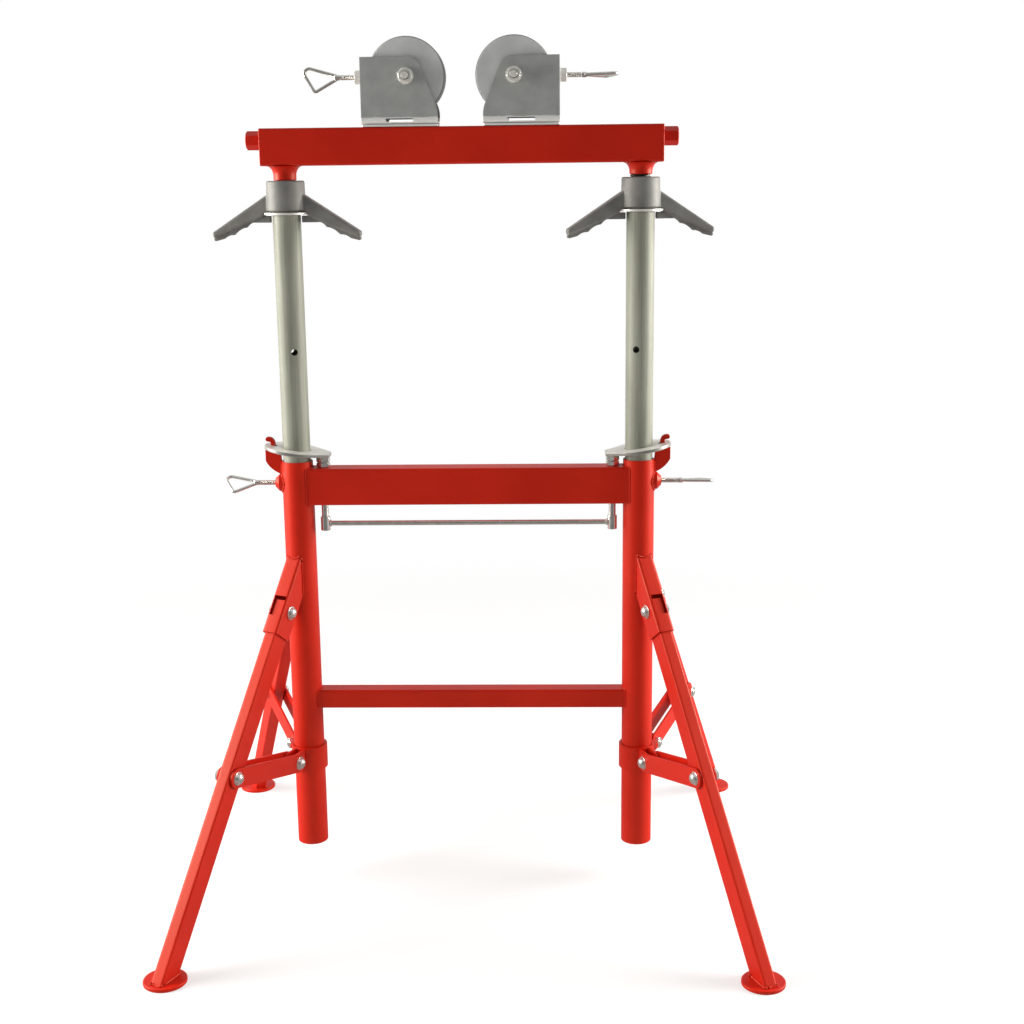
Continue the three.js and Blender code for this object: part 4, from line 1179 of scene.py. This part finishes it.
def roller():
    low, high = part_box("right_roller")
    radius, half_width = (high.x - low.x) / 2, (high.y - low.y) / 2
    corners = [
        (BORE_RADIUS, -half_width, 0.8 * MM),
        (radius - ROLLER_CHAMFER, -half_width, 0.4 * MM),
        (radius, -half_width + ROLLER_CHAMFER, 0.6 * MM),
        (radius, half_width - ROLLER_CHAMFER, 0.6 * MM),
        (radius - ROLLER_CHAMFER, half_width, 0.4 * MM),
        (BORE_RADIUS, half_width, 0.8 * MM),
    ]
    return lathe(rounded(corners, 3), 144)


def axle_bolt():
    """A bolt along Z: its head at +Z and its nut at -Z."""
    washer = tube(AXLE_RADIUS + 0.3 * MM, WASHER_RADIUS, WASHER_FACE, WASHER_FACE + WASHER_THICK, 0.5 * MM, 48)
    seat = WASHER_FACE + WASHER_THICK + SEAT_GAP
    head = hexagon(NUT_ACROSS, seat, seat + HEAD_HEIGHT, False, True)
    nut = hexagon(NUT_ACROSS, -seat - NUT_HEIGHT, -seat)
    shank = disc(AXLE_RADIUS, -WASHER_FACE - 1 * MM, seat + 1 * MM, 0.2 * MM)
    flipped = washer.moved(Matrix.Diagonal((1, 1, -1, 1)))
    faced = disc(AXLE_RADIUS - 0.8 * MM, BOLT_END, BOLT_END + 2 * MM, 0.4 * MM)
    return washer + flipped + head + nut + shank + faced


for side, outward in SIDES.items():
    place = Matrix.Translation((outward * AXLE.x, 0, AXLE.z)) @ ALONG_Y
    piece(f"{side}_roller_turned", roller().moved(place), f"{side}_roller", "roller_steel", f"{side}_roller")
    turned = place @ Matrix.Rotation(radians(14 * outward), 4, "Z")
    body, node = f"{side}_carriage", f"{side}_axle_bolt"
    piece(f"{side}_axle_set", axle_bolt().moved(turned), body, "pale_zinc", node)
    # Painted shade: the thread between the nut and the bolt's faced end is dark steel. This stands for the ring of
    # shade in the thread.
    thread = screw(AXLE_RADIUS, 1.75 * MM, 1 * MM, BOLT_END + 0.4 * MM, -WASHER_FACE, flat=0.1)
    piece(f"{side}_axle_thread", thread.moved(turned), body, "dark_steel", node)

# %% [markdown]
# ## Clamp and brake screws
# Four short studs press on the posts and the rollers, and each is turned by a loop of bent wire welded to a
# round shank. The loop is a wire along a bent line, melted into the shank so that the weld has a fillet.

# %% Build the studs and loops
WIRE_RADIUS = 2.5 * MM
SHANK_LENGTH = 8 * MM
CLAMP_TIP, CLAMP_END = 21.9 * MM, 59.9 * MM
BRAKE_TIP, BRAKE_END = 57 * MM, 98 * MM
LOOP_TURNS = {"left_clamp": -55, "right_clamp": 82, "left_brake": 0, "right_brake": 86}


def loop(start):
    """A wire loop on its shank. The shank runs along +X from start and the loop lies in X and Z."""
    root = start + SHANK_LENGTH - WIRE_RADIUS
    corners = [
        (root, WIRE_RADIUS, 0),
        (start + 60 * MM, 17.5 * MM, 7 * MM),
        (start + 38 * MM, -20.5 * MM, 3.5 * MM),
        (root, -WIRE_RADIUS, 0),
    ]
    path = [(point.x, 0, point.y) for point in rounded(corners, 8)]
    shank = disc(STUD_RADIUS, start, start + SHANK_LENGTH, 0.9 * MM).moved(ALONG_X)
    return fused(swept(path, WIRE_RADIUS, 16) + shank, 0.5 * MM, 3)


def stud(tip, end):
    """A threaded stud along +X with a plain dog point at its tip."""
    thread = screw(STUD_RADIUS, 1.25 * MM, 0.75 * MM, tip + 2 * MM, end, flat=0.12)
    point = disc(STUD_RADIUS - 1.2 * MM, tip, tip + 3 * MM, 0.6 * MM)
    return (thread + point).moved(ALONG_X)


for side, outward in SIDES.items():
    for kind, tip, end, place in (
        ("clamp", CLAMP_TIP, CLAMP_END, column(side) @ Matrix.Translation((0, 0, CLAMP_Z))),
        ("brake", BRAKE_TIP, BRAKE_END, carriage(side)),
    ):
        turn = Matrix.Rotation(radians(outward * LOOP_TURNS[f"{side}_{kind}"]), 4, "X")
        name = f"{side}_{kind}"
        piece(f"{name}_stud_rod", stud(tip, end).moved(place), f"{name}_stud", "bright_zinc", f"{name}_stud")
        wire = loop(end + SEAT_GAP).moved(place @ turn)
        piece(f"{name}_loop_wire", wire, f"{name}_loop", "bright_zinc", f"{name}_loop", crease=60)

# %% [markdown]
# ## Release bar and push bolts
# A rod under the cross rail lifts two bolts, and their heads tip the lock plates level so that the posts can
# drop. Rod, sleeves and bolts are turned stock, with a ring of weld where rod meets sleeve.

# %% Build the release bar
ROD_RADIUS = 4 * MM
SLEEVE_RADIUS = 7.5 * MM
sleeve_low, sleeve_high = (corner.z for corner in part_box("release_bar"))
rod_z = (sleeve_low + sleeve_high) / 2
head_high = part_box("right_push_bolt")[1].z
rod_half = PUSH_BOLT_X - SLEEVE_RADIUS + 1 * MM
rod = disc(ROD_RADIUS, -rod_half, rod_half, 0.4 * MM, 32).moved(Matrix.Translation((0, 0, rod_z)) @ ALONG_X)
for outward in SIDES.values():
    sleeve = tube(PUSH_BOLT_RADIUS + 0.2 * MM, SLEEVE_RADIUS, sleeve_low, sleeve_high, 0.8 * MM, 48)
    rod = rod + sleeve.moved(Matrix.Translation((outward * PUSH_BOLT_X, 0, 0)))
    turns = [2 * pi * k / 28 for k in range(29)]
    seam = outward * (PUSH_BOLT_X - SLEEVE_RADIUS - 0.6 * MM)
    rod = rod + bead([(seam, ROD_RADIUS * cos(a), rod_z + ROD_RADIUS * sin(a)) for a in turns], 1.5 * MM)
piece("release_bar_rod", rod, "release_bar", "bright_zinc", "release_bar")

for side, outward in SIDES.items():
    head = hexagon(19 * MM, head_high - 8 * MM, head_high)
    nut = hexagon(19 * MM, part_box("cross_rail")[1].z + SEAT_GAP, head_high - 8 * MM - SEAT_GAP)
    shank = disc(PUSH_BOLT_RADIUS, sleeve_low, head_high - 2 * MM, 0.8 * MM, 40)
    stand = Matrix.Translation((outward * PUSH_BOLT_X, 0, 0)) @ Matrix.Rotation(radians(9 * outward), 4, "Z")
    shape = (head + nut + shank).moved(stand)
    piece(f"{side}_push_bolt_set", shape, "release_bar", "bright_zinc", f"{side}_push_bolt")

# %% [markdown]
# ## Legs and feet
# Four box-tube legs splay from the uprights and end on round foot plates. A leg is cut level at its foot, so
# the end of each line of the section is found where it meets that level.

# %% Build the legs
LEG_DEEP, LEG_WIDE, LEG_WALL = 34 * MM, 20 * MM, 2 * MM
LEG_ABOVE_HINGE = 14 * MM
FOOT_REACH = 385 * MM
FOOT_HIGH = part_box("right_front_foot")[1].z
LEG_CUT = FOOT_HIGH + 0.1 * MM
hinge_place = Vector(joints["right_leg_fold"]["pos_m"])
HINGE_REACH = hypot(hinge_place.x - POST_X, hinge_place.y)
HINGE_Z = hinge_place.z
LEG_TILT = atan2(FOOT_REACH - HINGE_REACH, HINGE_Z - FOOT_HIGH)
CORNER_TURN = atan2(abs(hinge_place.y), hinge_place.x - POST_X)


def corner_frame(side, end):
    """The frame of one leg's plane: local +X points out along the leg, local Z is up."""
    outward, back = SIDES[side], ENDS[end]
    turn = atan2(back * sin(CORNER_TURN), outward * cos(CORNER_TURN))
    return Matrix.Translation((outward * POST_X, 0, 0)) @ Matrix.Rotation(turn, 4, "Z")


def leg():
    """A box tube whose length runs along local Z from the hinge, positive upward."""
    outer, inner = box_section(LEG_DEEP, LEG_WIDE, LEG_WALL, 2.6 * MM)

    def on_level(x, y):
        return -(HINGE_Z - LEG_CUT + x * sin(LEG_TILT)) / cos(LEG_TILT)

    shape = pulled(outer, inner, on_level, lambda x, y: LEG_ABOVE_HINGE)
    turn = Matrix.Rotation(-LEG_TILT, 4, "Y")
    return shape.moved(Matrix.Translation((HINGE_REACH, 0, HINGE_Z)) @ turn)


def foot_weld():
    """The bead round the leg's end on its foot plate."""
    ring = rectangle(LEG_DEEP / cos(LEG_TILT) + 0.8 * MM, LEG_WIDE + 0.8 * MM, 2.8 * MM)
    path = [(FOOT_REACH + point.x, point.y, LEG_CUT + 0.4 * MM) for point in ring]
    return bead(path + path[:1], 1.9 * MM)


def foot():
    corners = [(0, 0, 0), (31.3 * MM, 0, 0.6 * MM), (31.3 * MM, FOOT_HIGH, 1.5 * MM), (0, FOOT_HIGH, 0)]
    return lathe(rounded(corners, 4), 72).moved(Matrix.Translation((FOOT_REACH, 0, 0)))


for side in SIDES:
    for end in ENDS:
        name, body = f"{side}_{end}", f"{side}_{end}_leg"
        place = corner_frame(side, end)
        shape = (leg() + foot_weld()).moved(place)
        piece(f"{name}_leg_tube", shape, body, "red_paint", body)
        piece(f"{name}_foot_plate", foot().moved(place), body, "red_paint", f"{name}_foot")

# %% [markdown]
# ## Links and collars
# A pair of flat bars joins each leg to a collar that slides on the upright. The bars are round-ended strip.
# The collar is a turned ring with two pairs of ears, each pair clasped by the bars' ends.

# %% Build the links and collars
LINK_HALF = 15 * MM
BAR_INSIDE, BAR_OUTSIDE = 10.5 * MM, 14.5 * MM
LINK_ALONG_LEG = 265 * MM
COLLAR_PIVOT_REACH, COLLAR_PIVOT_Z = 49.5 * MM, 210 * MM
EAR_SIDE, EAR_HALF, EAR_ROUND = 8 * MM, 2 * MM, 14 * MM
COLLAR_WALL = 4 * MM
LINK_REACH = HINGE_REACH + LINK_ALONG_LEG * sin(LEG_TILT)
LINK_Z = HINGE_Z - LINK_ALONG_LEG * cos(LEG_TILT)
LINK_LENGTH = hypot(LINK_REACH - COLLAR_PIVOT_REACH, LINK_Z - COLLAR_PIVOT_Z)
RIM_RADIUS, RIM_THICK = 10.4 * MM, 1.7 * MM
DOME_RADIUS, DOME_HEIGHT = 9 * MM, 8.5 * MM
PIVOT_RADIUS, PIVOT_NUT = 5 * MM, 17 * MM


def pivot_bolt(half):
    """A bolt along +Y through a joint that is twice half wide: domed head at +Y, nut at -Y."""
    rim = [(0, half, 0), (RIM_RADIUS, half, 0.3 * MM), (RIM_RADIUS, half + RIM_THICK, 0.6 * MM)]
    dome = [(DOME_RADIUS, half + RIM_THICK)]
    for k in range(1, 11):
        turn = pi / 2 * k / 10
        dome.append((DOME_RADIUS * cos(turn), half + RIM_THICK + (DOME_HEIGHT - RIM_THICK) * sin(turn)))
    head = lathe(rounded(rim + [(DOME_RADIUS, half + RIM_THICK, 0)])[:-1] + dome, 40)
    nut = hexagon(PIVOT_NUT, -half - 8 * MM, -half)
    shank = disc(PIVOT_RADIUS, -half - 1 * MM, half + 1 * MM, 0.3 * MM, 32)
    thread = screw(PIVOT_RADIUS, 1.5 * MM, 0.9 * MM, -half - 10 * MM, -half - 0.5 * MM, flat=0.12)
    return (head + nut + shank + thread).moved(ALONG_Y)


def link_bars():
    """Two bars from the leg's pivot at the origin to the collar's pivot on +X."""
    ends = []
    for k in range(25):
        turn = pi / 2 + pi * k / 24
        ends.append(Vector((LINK_HALF * cos(turn), LINK_HALF * sin(turn))))
    outline = ends + [Vector((LINK_LENGTH - point.x, -point.y)) for point in ends]
    bar = plate(outline, BAR_INSIDE, BAR_OUTSIDE, 0.6 * MM).moved(STANDING)
    return bar + bar.moved(Matrix.Diagonal((1, -1, 1, 1)))


def link_frame():
    slope = atan2(LINK_Z - COLLAR_PIVOT_Z, COLLAR_PIVOT_REACH - LINK_REACH)
    return Matrix.Translation((LINK_REACH, 0, LINK_Z)) @ Matrix.Rotation(slope, 4, "Y")


def collar_ears():
    """One pair of ears in a corner's frame, from the ring out to the link's pivot."""
    rise = EAR_ROUND
    outline = [Vector((COLLAR_PIVOT_REACH + EAR_ROUND * cos(a), EAR_ROUND * sin(a)))
               for a in (pi * (k / 16 - 0.5) for k in range(17))]
    outline += [Vector((PIPE_RADIUS + 2 * MM, rise)), Vector((PIPE_RADIUS + 2 * MM, -rise))]
    ear = plate(outline, EAR_SIDE - EAR_HALF, EAR_SIDE + EAR_HALF, 0.6 * MM).moved(STANDING)
    seam = EAR_SIDE + EAR_HALF + 0.3 * MM
    reach = sqrt((PIPE_RADIUS + 0.3 * MM + COLLAR_WALL) ** 2 - seam**2)
    ear = ear + bead([(reach, -seam, -12 * MM), (reach, -seam, 12 * MM)], 1.4 * MM)
    pair = ear + ear.moved(Matrix.Diagonal((1, -1, 1, 1)))
    return pair.moved(Matrix.Translation((0, 0, COLLAR_PIVOT_Z)))


def dome_side(side, end):
    return SIDES[side] * ENDS[end]


for side in SIDES:
    low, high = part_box(f"{side}_collar")
    ring = tube(PIPE_RADIUS + 0.3 * MM, PIPE_RADIUS + 0.3 * MM + COLLAR_WALL, low.z, high.z, 0.8 * MM, 80)
    ring = ring.moved(Matrix.Translation((SIDES[side] * POST_X, 0, 0)))
    for end in ENDS:
        name, body = f"{side}_{end}", f"{side}_{end}_link"
        place = corner_frame(side, end)
        ring = ring + collar_ears().moved(place)
        swing = place @ link_frame()
        piece(f"{name}_link_bars", link_bars().moved(swing), body, "red_paint", body)
        half_turn = Matrix.Rotation(0 if dome_side(side, end) > 0 else pi, 4, "Z")
        bolt = pivot_bolt(BAR_OUTSIDE - SEAT_GAP).moved(half_turn)
        bolts = bolt + bolt.moved(Matrix.Translation((LINK_LENGTH, 0, 0)))
        piece(f"{name}_link_bolts", bolts.moved(swing), body, "bright_zinc", body)
        hinge = place @ Matrix.Translation((HINGE_REACH, 0, HINGE_Z))
        bolt = pivot_bolt(13.8 * MM).moved(hinge @ half_turn)
        piece(f"{name}_hinge_bolt", bolt, "base_frame", "bright_zinc", f"{name}_leg_pivot")
    piece(f"{side}_collar_ring", ring, f"{side}_collar", "red_paint", f"{side}_collar")

# %% [markdown]
# ## Roller brackets
# Each bracket is thick sheet folded up into two cheeks, with a web across the outer end for the brake screw's nut.
# The cheeks and the web are plates with broken edges, and the fold is a section with true round bends.

# %% Build the roller brackets
SHEET = 4 * MM
FOLD_HALF, FOLD_BEND = 27 * MM, 8 * MM
FOLD_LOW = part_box("right_roller_bracket")[0].z - AXLE.z
FOLD_OUT, FOLD_IN, FOLD_TOP = 66.5 * MM, -45.5 * MM, 27 * MM
WINDOW = {"middle": 10.5 * MM, "long": 40 * MM, "low": 3 * MM}
BRAKE_NUT_END = 77 * MM
SECTION_ALONG_X = Matrix(((0, 0, 1, 0), (1, 0, 0, 0), (0, 1, 0, 0), (0, 0, 0, 1)))


def fold_section():
    """The base of the bracket with both bends, as an outline in Y and Z."""
    flat, inner = FOLD_HALF - FOLD_BEND, FOLD_BEND - SHEET
    level = FOLD_LOW + FOLD_BEND
    outline = arc(-flat, level, FOLD_BEND, pi, 1.5 * pi, 10) + arc(flat, level, FOLD_BEND, 1.5 * pi, 2 * pi, 10)
    return outline + arc(flat, level, inner, 0, -pi / 2, 6) + arc(-flat, level, inner, -pi / 2, -pi, 6)


def brake_drill():
    return disc(BOSS_HOLE, FOLD_OUT - 2 * SHEET, BRAKE_NUT_END + SHEET, 0, 48).moved(ALONG_X)


def roller_bracket():
    foot = FOLD_LOW + FOLD_BEND - 1 * MM
    outline = [Vector((FOLD_IN, foot)), Vector((FOLD_OUT, foot)), Vector((FOLD_OUT, FOLD_TOP))]
    outline += bend((-3 * MM, FOLD_TOP), (-16.5 * MM, FOLD_TOP), (-22 * MM, 12 * MM), 12)
    outline += bend((-42 * MM, -38.5 * MM), (FOLD_IN, -47 * MM), (FOLD_IN, -56 * MM), 8)
    window = plate(rectangle(WINDOW["long"], 4 * FOLD_HALF, 0), FOLD_LOW + WINDOW["low"], FOLD_LOW + FOLD_BEND)
    window = window.moved(Matrix.Translation((WINDOW["middle"], 0, 0)))
    cheek = cut(plate(outline, FOLD_HALF - SHEET, FOLD_HALF, PLATE_EDGE).moved(STANDING), window)
    base = cut(plate(fold_section(), FOLD_IN, FOLD_OUT, PLATE_EDGE).moved(SECTION_ALONG_X), window)
    inside = FOLD_HALF - SHEET + 0.4 * MM
    web = [Vector((-inside, foot)), Vector((inside, foot)), Vector((inside, FOLD_TOP)), Vector((-inside, FOLD_TOP))]
    web = cut(plate(web, FOLD_OUT - SHEET, FOLD_OUT, PLATE_EDGE).moved(SECTION_ALONG_X), brake_drill())
    return cheek + cheek.moved(Matrix.Diagonal((1, -1, 1, 1))) + base + web


def brake_nut():
    nut = hexagon(NUT_ACROSS, FOLD_OUT - 0.5 * MM, BRAKE_NUT_END, False, True).moved(ALONG_X)
    nut = cut(nut, brake_drill())
    turns = [2 * pi * k / 36 for k in range(37)]
    ring = [(FOLD_OUT, 10.2 * MM * cos(a), 10.2 * MM * sin(a)) for a in turns]
    return nut + bead(ring, 1.5 * MM)


for side in SIDES:
    body, node = f"{side}_carriage", f"{side}_roller_bracket"
    piece(f"{side}_bracket_sheet", roller_bracket().moved(carriage(side)), body, "bracket_steel", node)
    piece(f"{side}_brake_nut", brake_nut().moved(carriage(side)), body, "pale_zinc", node)

# %% [markdown]
# ## Travellers
# A nut inside the rail carries each bracket on a slide plate. Only the plate's edge shows, but the block, its neck
# in the slot and the plate are all there, since the rail can be seen from below and through its slots.

# %% Build the travellers
TRAVELLER_LONG, NECK_LONG, NECK_WIDE = 36 * MM, 24 * MM, 15 * MM
SLIDE_THICK = 3 * MM

for side in SIDES:
    body, node = f"{side}_carriage", f"{side}_traveller_nut"
    low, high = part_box(node)
    centre = Matrix.Translation(((low.x + high.x) / 2, 0, 0))
    ceiling = RAIL_HIGH.z - RAIL_WALL - 0.5 * MM
    nut = plate(rectangle(TRAVELLER_LONG, rail_depth - 2 * RAIL_WALL - 1 * MM, 1.5 * MM), low.z, ceiling, 0.6 * MM)
    bore = disc(LEAD_RADIUS + 0.4 * MM, -TRAVELLER_LONG, TRAVELLER_LONG, 0, 40)
    nut = cut(nut, bore.moved(Matrix.Translation((0, 0, LEAD_Z)) @ ALONG_X))
    neck = plate(rectangle(NECK_LONG, NECK_WIDE, 2 * MM), ceiling - 1 * MM, high.z - 1 * MM)
    piece(f"{side}_traveller_block", (nut + neck).moved(centre), body, "dark_steel", node)
    # The slide plate takes the bracket's finish and lies wholly below the painted highlight's line, so all of it is
    # painted near-white.
    slide = rectangle(FOLD_OUT - FOLD_IN - 1 * MM, 2 * FOLD_HALF - 3 * MM, 2 * MM)
    slide = plate(slide, high.z - SLIDE_THICK, high.z, 0.5 * MM)
    piece(f"{side}_slide_plate", slide.moved(centre), body, "bracket_steel", node)

# %% [markdown]
# ## Leg brackets
# A channel of folded sheet is welded to the upright over each leg's top. Its section has round folds and is pulled
# along the leg until each line meets the pipe, and the window for the leg's top is cut out of its web.

# %% Build the leg brackets
CHEEK_INSIDE, CHEEK_OUTSIDE = 10.5 * MM, 13.5 * MM
WEB_INSIDE, WEB_OUTSIDE = 17.5 * MM, 20.5 * MM
CHANNEL_LOW = -40.7 * MM
CHANNEL_FOLD = 4 * MM
WINDOW_HIGH, WINDOW_LOW = 19.5 * MM, -12.4 * MM


def along_leg(across, reach):
    """How far up the leg's line, from the hinge, a point across it comes to a reach from the upright's axis."""
    return (HINGE_REACH + across * cos(LEG_TILT) - reach) / sin(LEG_TILT)


def channel():
    """The channel in the leg's own frame, with its length along Z."""
    edge = -LEG_DEEP / 2
    fold, inner = CHANNEL_FOLD, CHANNEL_FOLD - (CHEEK_OUTSIDE - CHEEK_INSIDE)
    outer_x, outer_y = WEB_OUTSIDE - fold, CHEEK_OUTSIDE - fold
    outline = [Vector((edge, -CHEEK_OUTSIDE))] + arc(outer_x, -outer_y, fold, -pi / 2, 0, 5)
    outline += arc(outer_x, outer_y, fold, 0, pi / 2, 5) + [Vector((edge, CHEEK_OUTSIDE)), Vector((edge, CHEEK_INSIDE))]
    outline += arc(outer_x, outer_y, inner, pi / 2, 0, 3) + arc(outer_x, -outer_y, inner, 0, -pi / 2, 3)
    outline = divided(outline + [Vector((edge, -CHEEK_INSIDE))], 2 * CORNER_STEP)
    shape = plate(outline, CHANNEL_LOW, 0)
    count = len(outline)
    for k, point in enumerate(outline):
        shape.points[count + k, 2] = along_leg(point.x, sqrt(SADDLE_RADIUS**2 - point.y**2))
    window = plate(rectangle(6 * fold, 2 * CHEEK_INSIDE, 0.6 * MM), WINDOW_LOW, WINDOW_HIGH)
    return cut(shape, window.moved(Matrix.Translation((WEB_OUTSIDE, 0, 0))))


def channel_weld():
    """The bead up one cheek, over the web and down the other, in the leg's own frame."""
    lift = 0.4 * MM
    half = CHEEK_OUTSIDE + lift
    path = [(-LEG_DEEP / 2, -half), (WEB_OUTSIDE - CHANNEL_FOLD, -half)]
    path += [(WEB_OUTSIDE + lift, half * (k / 8 - 1) * 0.82) for k in range(17)]
    path += [(WEB_OUTSIDE - CHANNEL_FOLD, half), (-LEG_DEEP / 2, half)]
    return bead([(x, y, along_leg(x, sqrt(PIPE_RADIUS**2 - y**2))) for x, y in path])


for side in SIDES:
    for end in ENDS:
        node = f"{side}_{end}_leg_bracket"
        hinge = Matrix.Translation((HINGE_REACH, 0, HINGE_Z)) @ Matrix.Rotation(-LEG_TILT, 4, "Y")
        shape = (channel() + channel_weld()).moved(corner_frame(side, end) @ hinge)
        piece(f"{node}_sheet", shape, "base_frame", "red_paint", node)
